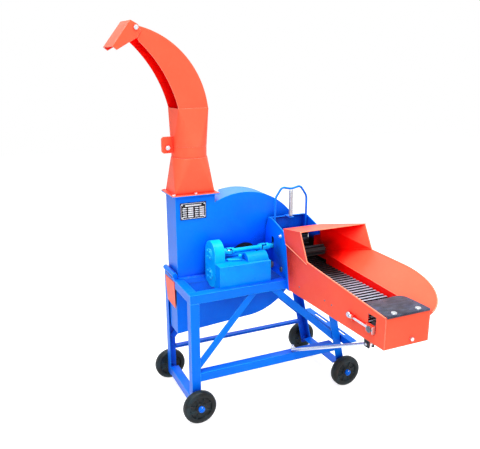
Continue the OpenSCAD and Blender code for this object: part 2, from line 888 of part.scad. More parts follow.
module flywheel() {
    vane_y1 = frame_d - iron_w - 8;
    color(dark_steel) difference() {
        union() {
            rod_y(disc_y, disc_y + disc_t, shaft_x, shaft_z, knife_r - 16);
            rod_y(knife_y + 4, vane_y1, shaft_x, shaft_z, hub_r);
            for (i = [0:knife_count - 1]) translate([shaft_x, 0, shaft_z]) rotate([0, i * 360 / knife_count, 0]) {
                block([90, knife_r - 30], [knife_y + knife_t, disc_y], [-24, 24]);
                block([hub_r - 5, knife_r], [disc_y + disc_t, vane_y1], [-4, 4]);
            }
        }
        rod_y(knife_y, vane_y1 + 1, shaft_x, shaft_z, shaft_r);
    }
}

module knives() {
    color(steel) for (i = [0:knife_count - 1])
        translate([shaft_x, 0, shaft_z]) rotate([0, i * 360 / knife_count, 0])
            along_y(knife_y, knife_y + knife_t)
                polygon([[78, -34], [knife_r - 12, -34], [knife_r - 4, 30], [78, 18]]);
}

module drive_pulley() {
    r = pulley_d / 2;
    groove = 13;
    land = 4;
    pitch = pulley_w / 3;
    web = pulley_w / 2 - 7;
    color(dark_steel) translate([shaft_x, pulley_y, shaft_z]) rotate([-90, 0, 0]) rotate_extrude()
        polygon(concat([[shaft_r, 0], [hub_r, 0], [hub_r, web], [r - 30, web], [r - 30, 0], [r, 0]],
            [for (i = [0:1], p = [[0, -8.5], [-groove, -land], [-groove, land], [0, 8.5]])
                [r + p[0], pitch * (i + 1) + (i == 0 ? -2 : 2) + p[1]]],
            [[r, pulley_w], [r - 30, pulley_w], [r - 30, pulley_w - web], [hub_r, pulley_w - web],
                [hub_r, pulley_w], [shaft_r, pulley_w]]));
}

bearing_ring_r = shaft_r + 20;
bearing_bolt = 52;

module main_bearings() {
    color(dark_steel) {
        difference() {
            rod_y(box_y1 - box_wall, casing_front - 5, shaft_x, shaft_z, bearing_ring_r);
            rod_y(box_y1 - box_wall - 1, casing_front, shaft_x, shaft_z, shaft_r + run_gap);
        }
        difference() {
            union() {
                block([shaft_x - 68, shaft_x + 68], [bearing_y, bearing_y + 14], [shaft_z - 68, shaft_z + 68]);
                rod_y(bearing_y, bearing_y + bearing_l, shaft_x, shaft_z, hub_r);
                for (sx = [-1, 1], sz = [-1, 1])
                    hex_y(bearing_y + 14, bearing_y + 22, shaft_x + sx * bearing_bolt, shaft_z + sz * bearing_bolt, 22);
            }
            rod_y(bearing_y - 1, bearing_y + bearing_l + 1, shaft_x, shaft_z, shaft_r + run_gap);
        }
    }
}

module bearing_bracket() {
    color(paint_blue) difference() {
        along_y(frame_d, bearing_y) polygon([[shaft_x - 110, leg_top], [shaft_x + 110, leg_top],
            [shaft_x + 110, frame_h + 10], [shaft_x + 76, shaft_z + 76], [shaft_x - 76, shaft_z + 76],
            [shaft_x - 110, frame_h + 10]]);
        rod_y(frame_d - 1, bearing_y + 1, shaft_x, shaft_z, shaft_r + 10);
    }
}

// Gearbox
module cover_outline(r) {
    stadium(roller_y, feed_z, upper_z, r);
}

module gearbox_body() {
    hump_y = box_y0 + 48;
    hump_r = 38;
    color(paint_blue) difference() {
        union() {
            block([box_x0, box_x1], [box_y0, box_y1], [frame_h, box_top]);
            block([box_x0, box_x1], [iron_w + 4, box_y1], [box_sump, frame_h]);
            rod_x(box_x1 - 104, box_x1 - 6, hump_y, box_top - 4, hump_r);
        }
        along_x(box_x0 - 1, cover_x1) cover_outline(cover_r);
        block([cover_x1 + box_wall, box_x1 - box_wall], [iron_w + 10, box_y1 - box_wall],
            [box_sump + box_wall - 2, box_top - box_wall]);
        rod_x(cover_x1 - 1, box_x1 + 1, roller_y, feed_z, lower_shaft_r + run_gap);
        rod_y(box_y1 - box_wall - 1, box_y1 + 1, shaft_x, shaft_z, bearing_ring_r);
        rod_y(box_y1 - box_wall - 1, box_y1 + 1, lay_x, feed_z, lay_shaft_r + run_gap);
        rod_z(box_top - box_wall - 1, box_top + 1, lever_x, lever_y, lever_pin_r + run_gap);
    }
}

module gear_cover() {
    wall = 4;
    cap_r = 26;
    color(paint_blue) difference() {
        union() {
            along_x(box_x0, cover_x1) cover_outline(cover_r);
            rod_x(box_x0 - 6, box_x0, roller_y, feed_z, cap_r);
            rod_x(box_x0 - 6, box_x0, roller_y, upper_z, cap_r);
            for (z = [feed_z, upper_z], a = [45:90:315])
                hex_x(box_x0 - 10, box_x0 - 6, roller_y + 19 * cos(a), z + 19 * sin(a), 9);
        }
        along_x(box_x0 + wall, cover_x1 - wall) cover_outline(cover_r - wall - 1);
        rod_x(box_x0 - 2, cover_x1 + 1, roller_y, feed_z, lower_shaft_r + run_gap);
        rod_x(box_x0 - 2, cover_x1 + 1, roller_y, upper_z, upper_shaft_r + run_gap);
    }
}

lay_shaft_r = 10;

module lay_gear() {
    color(steel) {
        rod_y(roller_y + bevel_crown_r, box_y1 - 1, lay_x, feed_z, lay_shaft_r);
        translate([lay_x, gear_y0 + gear_l, feed_z]) rotate([90, 0, 0]) linear_extrude(gear_l)
            rotate(lay_angle + 180 + 180 / lay_teeth) gear_outline(lay_teeth, gear_module);
        translate([lay_x, roller_y + bevel_crown_r, feed_z]) rotate([90, 0, 0])
            linear_extrude(bevel_crown_r * (1 - bevel_keep), scale = bevel_keep)
                rotate(180) bevel_outline(bevel_pinion_teeth, bevel_module);
        rod_y(roller_y + bevel_crown_r, gear_y0, lay_x, feed_z, bevel_pinion_r - 2);
    }
}

chain_x = feed_r + 7;
chain_w = 6;
sprocket_r = 24;
shaft_tail = chain_x + chain_w + 4;

module lower_shaft() {
    color(dark_steel) {
        rod_x(box_x0 - 1, shaft_tail, roller_y, feed_z, lower_shaft_r);
        translate([gear_x0, roller_y, feed_z]) rotate([90, 0, 90]) linear_extrude(gear_w)
            rotate(90) gear_outline(roller_teeth, gear_module);
        translate([lay_x - bevel_pinion_r, roller_y, feed_z]) rotate([90, 0, 90])
            linear_extrude(bevel_pinion_r * (1 - bevel_keep), scale = bevel_keep)
                rotate(180 / bevel_crown_teeth) bevel_outline(bevel_crown_teeth, bevel_module);
        rod_x(cover_x1 + box_wall + 2, lay_x - bevel_pinion_r, roller_y, feed_z, lower_shaft_r + 7);
        rod_x(box_x1 + 8, box_x1 + 42, roller_y, feed_z, lower_shaft_r + 9);
        rod_x(chain_x, chain_x + chain_w, roller_y, feed_z, sprocket_r);
    }
}

module ribbed_roller(d, bore, ribs, x0, x1, z) {
    translate([x0, roller_y, z]) rotate([90, 0, 90]) linear_extrude(x1 - x0) difference() {
        union() {
            circle(d / 2 - 7);
            for (i = [0:ribs - 1]) rotate(i * 360 / ribs) translate([d / 2 - 9, -3]) square([9, 6]);
        }
        circle(bore);
    }
}

module lower_roller() {
    color(dark_steel) ribbed_roller(lower_roller_d, lower_shaft_r, 12, inner_x0 + 6, inner_x1 - 6, feed_z);
}

module yoke_arms(tip, root, side) {
    for (s = [-1, 1]) rotate([side, 0, 0])
        block([tip, root], s > 0 ? [yoke_inside, yoke_inside + yoke_arm_t] : [-yoke_inside - yoke_arm_t, -yoke_inside],
            [-7, 7]);
}

module upper_gear_shaft() {
    color(steel) {
        rod_x(box_x0 - 1, joint_x - 13, roller_y, upper_z, upper_shaft_r);
        translate([gear_x0, roller_y, upper_z]) rotate([90, 0, 90]) linear_extrude(gear_w)
            rotate(-90 + 180 / roller_teeth) gear_outline(roller_teeth, gear_module);
        rod_x(joint_x - 24, joint_x - 13, roller_y, upper_z, yoke_inside + yoke_arm_t);
        translate([joint_x, roller_y, upper_z]) yoke_arms(-14, 9, 0);
    }
}

module cardan_ball() {
    color(steel) translate([joint_x, roller_y, upper_z]) sphere(yoke_inside - face_gap);
}

module cardan_shaft() {
    end = joint_end_x - joint_x;
    color(paint_blue) translate([joint_x, roller_y, upper_z]) {
        yoke_arms(-9, 14, 90);
        rod_x(13, 24, 0, 0, yoke_inside + yoke_arm_t);
        rod_x(20, end - 20, 0, 0, 11);
        rod_x(end - 24, end - 13, 0, 0, yoke_inside + yoke_arm_t);
        translate([end, 0, 0]) yoke_arms(-14, 8, 90);
    }
}

lever_x = cover_x1 + 26;
lever_y = box_y0 + 70;
lever_pin_r = 6;
lever_l = 52;

module shift_lever() {
    z = box_top + face_gap;
    color(paint_blue) {
        rod_z(box_top - box_wall + 1, z + 8, lever_x, lever_y, lever_pin_r);
        rod_z(z, z + 8, lever_x, lever_y, 12);
        translate([lever_x, lever_y, z]) rotate(-18) {
            block([0, lever_l], [-7, 7], [1, 7]);
            rod_z(0, 22, lever_l - 4, 0, 6);
            translate([lever_l - 4, 0, 22]) sphere(9);
        }
    }
}

// Feed box
module side_plate_outline() {
    polygon([[trough_in + 2, frame_h - iron_w - 4], [-face_gap, frame_h - iron_w - 4], [-face_gap, frame_h],
        [plate_rear, frame_h], [plate_rear, upper_z + 62], [rim_y + 6, rim_z1], [rim_y - 34, rim_z1],
        [hood_rear - 20, upper_z + 86], [trough_in + 2, upper_z + 52]]);
}

// The right plate stops short under the hood, whose cheek closes that side
module right_plate_cut() {
    polygon([[trough_in, conveyor_z + 44], [drive_y + 33, conveyor_z + 44], [drive_y + 33, upper_z + 40],
        [hood_rear + 2, upper_z + 60], [hood_rear + 2, rim_z1], [trough_in, rim_z1]]);
}

module roller_slot(r) {
    translate([roller_y - r, upper_z]) square([2 * r, roller_lift + 1]);
    translate([roller_y, upper_z]) circle(r);
    translate([roller_y, upper_z + roller_lift + 1]) circle(r);
}

module feed_side_plates() {
    color(paint_blue) for (x = [left_plate_x, right_plate_x]) difference() {
        along_x(x, x + plate_t) side_plate_outline();
        along_x(x - 1, x + plate_t + 1) roller_slot(upper_shaft_r + 1);
        along_x(right_plate_x - 1, right_plate_x + plate_t + 1) right_plate_cut();
        rod_x(x - 1, x + plate_t + 1, roller_y, feed_z, lower_shaft_r + run_gap);
        rod_x(x - 1, x + plate_t + 1, drive_y, conveyor_z, conveyor_shaft_r + run_gap);
        rod_x(x - 1, x + plate_t + 1, press_y, press_z, press_shaft_r + run_gap);
    }
}

module feed_rim() {
    color(paint_blue) {
        block([inner_x0, inner_x1], [rim_y, rim_y + 4], [rim_z0, rim_z1]);
        block([inner_x0, inner_x1], [rim_y - 8, rim_y + 4], [rim_z1 - 3, rim_z1]);
        block([bail_mid - 11, bail_mid + 11], [roller_y - 12, rim_y + 4], [rim_z1, anchor_z]);
    }
}

module ledger_knife() {
    color(steel) along_x(inner_x0, inner_x1)
        polygon([[roller_y + lower_roller_d / 2 + 4, feed_z + 6], [knife_y - 0.8, feed_z + 22],
            [knife_y - 0.8, feed_z + 36], [roller_y + lower_roller_d / 2 + 12, feed_z + 30]]);
}

// Holds the stalks down on the slats before they reach the roller pair
module press_roller() {
    color(dark_steel) {
        translate([0, press_y - roller_y, 0])
            ribbed_roller(press_roller_d, 0.01, 10, inner_x0 + 3, inner_x1 - 3, press_z);
        rod_x(feed_x + 0.6, feed_r + face_gap + sheet, press_y, press_z, press_shaft_r);
    }
}

module upper_roller() {
    color(dark_steel) {
        ribbed_roller(upper_roller_d, 0.01, 12, block_x0 + block_w + 2, block_x1 - block_w - 2, upper_z);
        rod_x(joint_end_x + 13, block_x1, roller_y, upper_z, upper_shaft_r);
        rod_x(joint_end_x + 13, joint_end_x + 24, roller_y, upper_z, yoke_inside + yoke_arm_t);
        translate([joint_end_x, roller_y, upper_z]) yoke_arms(-8, 14, 0);
    }
}

module roller_carriage() {
    color(paint_blue) difference() {
        union() {
            for (x = [block_x0, block_x1 - block_w]) {
                block([x, x + block_w], [roller_y - 22, roller_y + 22], [upper_z - 22, upper_z + 22]);
                block([x, x + block_w], [roller_y - 12, roller_y + 12], [upper_z, carriage_bar_z + 8]);
            }
            block([block_x0, block_x1], [roller_y - 12, roller_y + 12], [carriage_bar_z, carriage_bar_z + 8]);
        }
        rod_x(block_x0 - 1, block_x1 + 1, roller_y, upper_z, upper_shaft_r + run_gap);
    }
}

bail_points = [[bail_x0, carriage_bar_z + 8], [bail_x0, bail_shoulder_z], [bail_x0 + 35, bail_peak_z],
    [bail_mid, bail_dip_z], [bail_x1 - 35, bail_peak_z], [bail_x1, bail_shoulder_z], [bail_x1, carriage_bar_z + 8]];

bend_cut = 16;
bend_steps = 4;
rod_sides = 10;
function unit(v) = v / norm(v);
function bend(a, b, c) = let (p = b + unit(a - b) * bend_cut, q = b + unit(c - b) * bend_cut)
    [for (i = [0:bend_steps]) let (t = i / bend_steps) pow(1 - t, 2) * p + 2 * t * (1 - t) * b + t * t * q];
function flat_tangent(path, i) = unit(path[min(i + 1, len(path) - 1)] - path[max(i - 1, 0)]);
bail_path = concat([bail_points[0]],
    [for (i = [1:len(bail_points) - 2]) each bend(bail_points[i - 1], bail_points[i], bail_points[i + 1])],
    [bail_points[len(bail_points) - 1]]);

function tube_sides(rings, sides) = [for (i = [0:rings - 2], k = [0:sides - 1])
    let (a = i * sides + k, b = i * sides + (k + 1) % sides) each [[a, a + sides, b], [b, a + sides, b + sides]]];
function tube_ends(rings, sides) = let (e = (rings - 1) * sides)
    [for (k = [1:sides - 2]) each [[0, k, k + 1], [e, e + k + 1, e + k]]];

module bail() {
    rings = len(bail_path);
    points = [for (i = [0:rings - 1], k = [0:rod_sides - 1])
        let (p = bail_path[i], t = i == 0 ? [0, 1] : i == rings - 1 ? [0, -1] : flat_tangent(bail_path, i),
            a = k * 360 / rod_sides)
        [p[0] - bail_r * t[1] * cos(a), roller_y - bail_r * sin(a), p[1] + bail_r * t[0] * cos(a)]];
    color(paint_blue) polyhedron(points, concat(tube_sides(rings, rod_sides), tube_ends(rings, rod_sides)));
}

// Tension spring: one unbroken six-sided tube that winds up from the anchor to the bail
ring_steps = 8;
ring_sides = 6;
coil_r = (spring_d - spring_wire) / 2;
wire_r = spring_wire / 2;
bail_rise = (bail_peak_z - bail_dip_z) / (bail_mid - bail_x0 - 35);
spring_z0 = anchor_z + 0.2;
spring_z1 = bail_dip_z + coil_r * bail_rise - bail_r * sqrt(1 + bail_rise * bail_rise)
    - wire_r * bail_rise - face_gap;
coil_z0 = spring_z0 + spring_wire;
coil_z1 = spring_z1 - spring_wire;
coil_steps = spring_curls * ring_steps;
function coil_point(i) = [coil_r * cos(i * 360 / ring_steps), coil_r * sin(i * 360 / ring_steps),
    coil_z0 + (coil_z1 - coil_z0) * i / coil_steps];
spring_path = concat([[coil_r, 0, spring_z0]], [for (i = [0:coil_steps]) coil_point(i)], [[coil_r, 0, spring_z1]]);
spring_last = len(spring_path) - 1;
function spring_tangent(i) = i == 0 || i == spring_last ? [0, 0, 1]
    : unit(spring_path[i + 1] - spring_path[i - 1]);
function spring_ring(i) = let (p = spring_path[i], t = spring_tangent(i),
    out = unit([p[0], p[1], 0]), n = unit(out - (out * t) * t), b = cross(t, n))
    [for (k = [0:ring_sides - 1]) p + wire_r * (n * cos(k * 60) + b * sin(k * 60))];
spring_points = [for (i = [0:spring_last]) each spring_ring(i)];
spring_gap = min([for (i = [1:coil_steps + 1 - ring_steps], j = [-1:1])
    i + ring_steps + j > coil_steps + 1 ? 1000
        : norm(spring_path[i + ring_steps + j] - spring_path[i])]) - spring_wire;
echo(least_gap_of_the_spring_to_itself = spring_gap);

module tension_spring() {
    color(steel) translate([bail_mid, roller_y, 0]) polyhedron(spring_points,
        concat(tube_sides(spring_last + 1, ring_sides), tube_ends(spring_last + 1, ring_sides)));
}

// Trough
takeup_x = feed_x - 11;
window = 24;

module shaft_window(x0, x1) {
    block([x0, x1], [tail_y - window + 4, tail_y + window + 2], [conveyor_z - 16, conveyor_z + 48]);
}

module takeup_lug_at(x0, x1, rod_centre) {
    difference() {
        block([x0, x1], [takeup_lug_y, takeup_lug_y + takeup_lug], [conveyor_z - 11, conveyor_z + 11]);
        rod_y(takeup_lug_y - 1, takeup_lug_y + takeup_lug + 1, rod_centre, conveyor_z, takeup_rod_r + 0.4);
    }
}

takeup_rod_r = 4.5;

module trough_left_panel() {
    color(paint_orange) {
        difference() {
            along_x(feed_x - sheet, feed_x) polygon([[trough_in, trough_z_in], [trough_out, trough_z_out],
                [trough_out, end_top], [panel_kink_y, panel_kink_z], [panel_rear_y, panel_rear_z]]);
            shaft_window(feed_x - sheet - 1, feed_x + 1);
        }
        takeup_lug_at(takeup_x - 5, feed_x - sheet, takeup_x);
    }
}

flare_reach = trough_l + hood_rear;
flare_full = 0.593 * flare_reach;
flare_under_hood = 10;
flare_start = 12;
function flare_edge(s) = flare_w * sqrt(max(0, 1 - pow((s - flare_full) / (flare_reach - flare_full), 2)));

module flare_outline() {
    polygon(concat([[4, 0], [4, -flare_start], [hood_rear - hood_low_y - flare_under_hood, -flare_w * 0.95],
        [flare_full, -flare_w]],
        [for (i = [1:15]) let (s = flare_full + (flare_reach - flare_full) * sin(i * 6)) [s, -flare_edge(s)]]));
}

module trough_right_panel() {
    color(paint_orange) {
        difference() {
            along_x(feed_r, feed_r + sheet) polygon([[trough_in, trough_z_in], [trough_out, trough_z_out],
                [trough_out, bend_out_z], [hood_rear, bend_rear_z], [hood_rear, feed_z + 40], [trough_in, feed_z]]);
            shaft_window(feed_r - 1, feed_r + sheet + 1);
        }
        translate([feed_r + 1, hood_rear, bend_rear_z - flare_lap]) rotate([bend_slope, 0, 0]) rotate([0, -flare_angle, 0])
            rotate([0, 0, -90]) mirror([0, 1, 0]) translate([0, 0, -sheet]) linear_extrude(sheet) flare_outline();
        takeup_lug_at(feed_r + sheet, feed_r + 16, feed_r + 11);
    }
}

ear_r = 13;
rod_pin_r = 5;

module rod_ear(x) {
    difference() {
        along_x(x, x + 6) polygon([[rod_pivot_y - 20, floor_z(rod_pivot_y - 20)],
            [rod_pivot_y + 20, floor_z(rod_pivot_y + 20)], [rod_pivot_y + ear_r, rod_pivot_z - ear_r],
            [rod_pivot_y - ear_r, rod_pivot_z - ear_r]]);
        rod_x(x - 1, x + 7, rod_pivot_y, rod_pivot_z, rod_pin_r + run_gap);
    }
}

module trough_floor() {
    color(paint_orange) {
        along_x(feed_x, feed_r) polygon([[trough_in, trough_z_in], [trough_out + sheet, floor_z(trough_out + sheet)],
            [trough_out + sheet, floor_z(trough_out + sheet) + sheet], [trough_in, trough_z_in + sheet]]);
        rod_ear(rod_x - 13);
        rod_ear(rod_x + 7);
    }
}

flap_shelf = 26;

module trough_end_plate() {
    color(paint_orange) difference() {
        union() {
            block([feed_x, feed_r], [trough_out, trough_out + sheet], [trough_z_out, end_top]);
            block([feed_x, feed_r], [trough_out, trough_out + flap_shelf], [end_top - sheet, end_top]);
        }
        flap_bolt_row(end_top - sheet - 1, end_top + 1, flap_bolt_r);
        rod_y(trough_out - 1, trough_out + sheet + 1, end_bolt_x, end_bolt_z, flap_bolt_r);
    }
}

hood_x1 = feed_r + 141;
hood_low_x = feed_r + 132;
hood_low_y = -183;
hood_low_z = bend_rear_z + (bend_out_z - bend_rear_z) * (hood_rear - hood_low_y) / (hood_rear - trough_out)
    + (hood_low_x - feed_r - sheet) * tan(flare_angle) - 0.7;
cheek_rear = drive_y + 40;

module hood_right() {
    rear_x = feed_r + face_gap + sheet - 0.4;
    outer = [[hood_x1 - 2, hood_front + 1, hood_front_z - hood_lap], [rear_x, hood_rear - 1, hood_rear_z - hood_lap],
        [hood_low_x, hood_low_y, hood_low_z], [rear_x, hood_rear - 1, bend_rear_z + 2 * face_gap]];
    inner = [for (p = outer) p - [sheet, 0, 0]];
    polyhedron(concat(outer, inner), [[0, 1, 2], [1, 3, 2], [4, 6, 5], [5, 6, 7], [0, 4, 5], [0, 5, 1],
        [1, 5, 7], [1, 7, 3], [3, 7, 6], [3, 6, 2], [2, 6, 4], [2, 4, 0]]);
}

// Carries the hood's right side back to the rollers, outside the feed box's cut-back right plate, and holds
// the press roller's end in a tongue above the flare
module hood_cheek() {
    tongue_z = bend_rear_z + 4;
    difference() {
        along_x(feed_r + face_gap, feed_r + face_gap + sheet) {
            polygon([[hood_rear - 5, bend_rear_z + 1], [hood_rear + 0.5, bend_rear_z + 1],
                [hood_rear + 0.5, bend_rear_z - 40], [cheek_rear, bend_rear_z - 40], [cheek_rear, hood_rear_z - 30],
                [hood_rear - 5, hood_rear_z - 8]]);
            polygon([[hood_rear - 4, tongue_z], [hood_rear - 4, press_z + 30], [press_y - 14, press_z + 12],
                [press_y - 14, tongue_z]]);
        }
        rod_x(feed_r - 1, feed_r + 2 * sheet, press_y, press_z, press_shaft_r + run_gap);
    }
}

module hood() {
    length = hood_rear - hood_front;
    rise = atan2(hood_front_z - hood_rear_z, length);
    color(paint_orange) {
        translate([0, hood_rear, hood_rear_z]) rotate([-rise, 0, 0]) translate([0, 0, -sheet]) linear_extrude(sheet)
            polygon([[feed_x - 2 * sheet, 0], [feed_r + sheet + 1, 0], [hood_x1, -length / cos(rise)],
                [feed_x - 2 * sheet, -length / cos(rise)]]);
        along_x(feed_x - 2 * sheet + 0.5, feed_x - sheet) polygon([[hood_rear - 1, hood_rear_z - hood_lap],
            [panel_rear_y, panel_rear_z - hood_seam], [panel_kink_y, panel_kink_z - hood_seam],
            [panel_kink_y, panel_kink_z], [hood_front + 1, hood_front_z - hood_lap]]);
        hood_right();
        hood_cheek();
    }
}

function loop_place(s) = let (arc = PI * chain_r)
    s < loop_run ? [tail_y + s, conveyor_z + chain_r, 0]
    : s < loop_run + arc ? let (a = 180 * (s - loop_run) / arc)
        [drive_y + chain_r * sin(a), conveyor_z + chain_r * cos(a), -a]
    : s < 2 * loop_run + arc ? [drive_y - (s - loop_run - arc), conveyor_z - chain_r, 180]
    : let (a = 180 * (s - 2 * loop_run - arc) / arc)
        [tail_y - chain_r * sin(a), conveyor_z - chain_r * cos(a), 180 - a];

module conveyor() {
    color(dark_steel) {
        for (x = [inner_x0 + 6, inner_x1 - 14]) along_x(x, x + 8) difference() {
            loop_outline(chain_r);
            loop_outline(chain_r - chain_t);
        }
        for (i = [0:slat_count - 1]) let (p = loop_place(i * loop_length / slat_count))
            translate([inner_x0 + 2, p[0], p[1]]) rotate([p[2], 0, 0])
                translate([0, -slat_w / 2, -1]) cube([inner_x1 - inner_x0 - 4, slat_w, slat_t + 1]);
    }
}

module drum(y, x0, x1) {
    rod_x(inner_x0 + 3, inner_x1 - 3, y, conveyor_z, drum_r);
    rod_x(x0, x1, y, conveyor_z, conveyor_shaft_r);
}

module conveyor_drive() {
    color(dark_steel) {
        drum(drive_y, left_plate_x - 4, shaft_tail);
        rod_x(chain_x, chain_x + chain_w, drive_y, conveyor_z, sprocket_r);
    }
}

module conveyor_tail() {
    color(steel) drum(tail_y, takeup_x - 9, feed_r + 19);
}

module takeup_side(x0, x1, rod_centre) {
    difference() {
        union() {
            block([x0, x1], [tail_y - 18, tail_y + 18], [conveyor_z - 15, conveyor_z + 15]);
            rod_y(tail_y + 17, takeup_lug_y + takeup_lug + 34, rod_centre, conveyor_z, takeup_rod_r);
            hex_y(takeup_lug_y + takeup_lug + face_gap, takeup_lug_y + takeup_lug + 9, rod_centre, conveyor_z, 12);
        }
        rod_x(x0 - 1, x1 + 1, tail_y, conveyor_z, conveyor_shaft_r + run_gap);
    }
}

module tail_takeup() {
    color(steel) {
        takeup_side(takeup_x - 5, feed_x - sheet - face_gap, takeup_x);
        takeup_side(feed_r + sheet + face_gap, feed_r + 16, feed_r + 11);
    }
}

module drive_chain() {
    run = [roller_y - drive_y, feed_z - conveyor_z];
    color(black) translate([chain_x, drive_y, conveyor_z]) rotate([atan2(run[1], run[0]), 0, 0])
        along_x(0, chain_w) difference() {
            chain_outline(sprocket_r + 6, norm(run));
            chain_outline(sprocket_r + 0.5, norm(run));
        }
}

module chain_outline(r, length) {
    circle(r);
    translate([length, 0]) circle(r);
    translate([0, -r]) square([length, 2 * r]);
}

rubber_t = 4;
rubber_in = trough_out + 150;
flap_bolt_r = 4;
flap_bolt_inset = 42;
flap_bolt_y = trough_out + 14;
end_bolt_x = (feed_x + feed_r) / 2 + 20;
end_bolt_z = trough_z_out + 22;

module flap_bolt_row(z0, z1, r) {
    for (x = [feed_x + flap_bolt_inset, feed_r - flap_bolt_inset]) rod_z(z0, z1, x, flap_bolt_y, r);
}

module rubber_flap() {
    color(black) difference() {
        block([feed_x + 1, feed_r - 1], [trough_out, rubber_in], [end_top, end_top + rubber_t]);
        flap_bolt_row(end_top - 1, end_top + rubber_t + 1, flap_bolt_r);
    }
}

module trough_bolts() {
    color(steel) {
        flap_bolt_row(end_top - sheet - 4, end_top + rubber_t + 3, flap_bolt_r);
        for (x = [feed_x + flap_bolt_inset, feed_r - flap_bolt_inset])
            rod_z(end_top + rubber_t, end_top + rubber_t + 4, x, flap_bolt_y, 10);
        rod_y(trough_out - 5, trough_out + sheet + 5, end_bolt_x, end_bolt_z, flap_bolt_r);
        hex_y(trough_out - 8, trough_out, end_bolt_x, end_bolt_z, 13);
    }
}

module support_rod() {
    pivot = [rod_x, rod_pivot_y, rod_pivot_z];
    foot = [rod_x, rod_end_y, rod_end_z];
    color(steel) {
        rod_x(rod_x - 17, rod_x + 17, rod_pivot_y, rod_pivot_z, rod_pin_r);
        rod_x(rod_x - 6, rod_x + 6, rod_pivot_y, rod_pivot_z, 12);
        bar(pivot, foot, rod_r);
        translate(foot) sphere(rod_r + bend_swell);
        rod_z(rod_end_z, rod_end_z + 26, rod_x, rod_end_y, rod_r - 1);
    }
}

place() left_legs();
place() right_legs();
place() top_long_rails();
place() top_end_rails();
place() cross_rail();
place() lower_long_rails();
place() lower_end_rails();
place() braces();
place() motor_rail();
place() side_guard();
place() stub_axles();
place() front_left_wheel();
place() front_right_wheel();
place() rear_left_wheel();
place() rear_right_wheel();
place() lower_casing();
place() casing_hinge();
place() upper_casing();
place() nameplate();
place() chute_base();
place() chute_base_bolts();
place() chute();
place() chute_bolts();
place() chute_flap();
place() main_shaft();
place() flywheel();
place() knives();
place() drive_pulley();
place() main_bearings();
place() bearing_bracket();
place() gearbox_body();
place() gear_cover();
place() lay_gear();
place() lower_shaft();
place() lower_roller();
place() upper_gear_shaft();
place() cardan_ball();
place() cardan_shaft();
place() shift_lever();
place() feed_side_plates();
place() feed_rim();
place() ledger_knife();
place() upper_roller();
place() press_roller();
place() roller_carriage();
place() bail();
place() tension_spring();
place() trough_left_panel();
place() trough_right_panel();
place() trough_floor();
place() trough_end_plate();
place() hood();
place() conveyor();
place() conveyor_drive();
place() conveyor_tail();
place() tail_takeup();
place() drive_chain();
place() rubber_flap();
place() trough_bolts();
place() support_rod();
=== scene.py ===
# %% [markdown]
# # Dressing a chaff cutter
# The machine was drawn as exact solids and packed as a frame of named nodes on moving bodies.
# Here it gets its looks: enamel, castings, steel, rubber, and the small forms that solids leave out.
# A node of the frame is never moved or reshaped. It takes a finish, or a better piece stands in for it.

import math

import bmesh
import bpy
from mathutils import Matrix, Vector


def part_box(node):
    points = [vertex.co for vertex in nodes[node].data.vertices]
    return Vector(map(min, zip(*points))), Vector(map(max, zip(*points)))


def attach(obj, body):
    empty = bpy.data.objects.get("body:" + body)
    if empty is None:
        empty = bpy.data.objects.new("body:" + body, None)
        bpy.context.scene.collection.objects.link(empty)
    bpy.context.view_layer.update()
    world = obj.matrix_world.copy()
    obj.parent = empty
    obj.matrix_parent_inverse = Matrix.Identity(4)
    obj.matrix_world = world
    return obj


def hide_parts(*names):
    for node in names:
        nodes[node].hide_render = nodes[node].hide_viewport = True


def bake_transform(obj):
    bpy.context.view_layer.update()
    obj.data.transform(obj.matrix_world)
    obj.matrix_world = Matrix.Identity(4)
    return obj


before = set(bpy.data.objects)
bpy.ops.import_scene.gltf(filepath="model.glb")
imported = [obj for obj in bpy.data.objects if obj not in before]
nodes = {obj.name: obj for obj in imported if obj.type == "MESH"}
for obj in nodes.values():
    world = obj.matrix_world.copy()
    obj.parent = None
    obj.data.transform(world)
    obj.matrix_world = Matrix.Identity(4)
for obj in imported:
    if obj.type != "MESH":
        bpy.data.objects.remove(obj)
scene = bpy.context.scene
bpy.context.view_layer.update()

# %% [markdown]
# ## The camera
# The picture was taken from the front left, a little above the trough, with a normal lens.
# A camera could be aimed by eye, but its place was worked out from the frame's corners and wheel
# circles instead, so every piece can be laid over the picture and compared.

# %% Camera
SENSOR_WIDTH = 36
IMAGE_WIDTH = 480
FOCAL_PIXELS = 573.06
STANDPOINT = Vector((-1.0357, -2.0232, 1.5027))
YAW = math.radians(24.266)
PITCH = math.radians(15.208)
ROLL = math.radians(-0.150)

camera_data = bpy.data.cameras.new("portrait")
camera_data.sensor_width = SENSOR_WIDTH
camera_data.lens = FOCAL_PIXELS / IMAGE_WIDTH * SENSOR_WIDTH
camera = bpy.data.objects.new("portrait", camera_data)
scene.collection.objects.link(camera)
forward = Vector((math.sin(YAW) * math.cos(PITCH), math.cos(YAW) * math.cos(PITCH), -math.sin(PITCH)))
aim = forward.to_track_quat("-Z", "Y").to_matrix().to_4x4()
camera.matrix_world = Matrix.Translation(STANDPOINT) @ aim @ Matrix.Rotation(ROLL, 4, "Z")
scene.camera = camera
print("lens:", round(camera_data.lens, 2), "mm")

# %% [markdown]
# ## Floor, world and lamps
# The picture has a bare white ground. Turning the lamps up until the floor clips would also bleach
# the paint, so the world and the floor are white only to rays that come from the eye or a mirror.
# The floor still takes the machine's shadow. A strong lamp overhead makes upward faces the brightest,
# as in the picture, and three weaker ones open the shadows.

# %% Helpers for shader trees
def add_node(tree, kind, **settings):
    made = tree.nodes.new(kind)
    for key, value in settings.items():
        setattr(made, key, value)
    return made


def feed(tree, target, source):
    """Links a socket to an input, or writes a plain value on it."""
    if isinstance(source, bpy.types.NodeSocket):
        tree.links.new(source, target)
    else:
        target.default_value = source


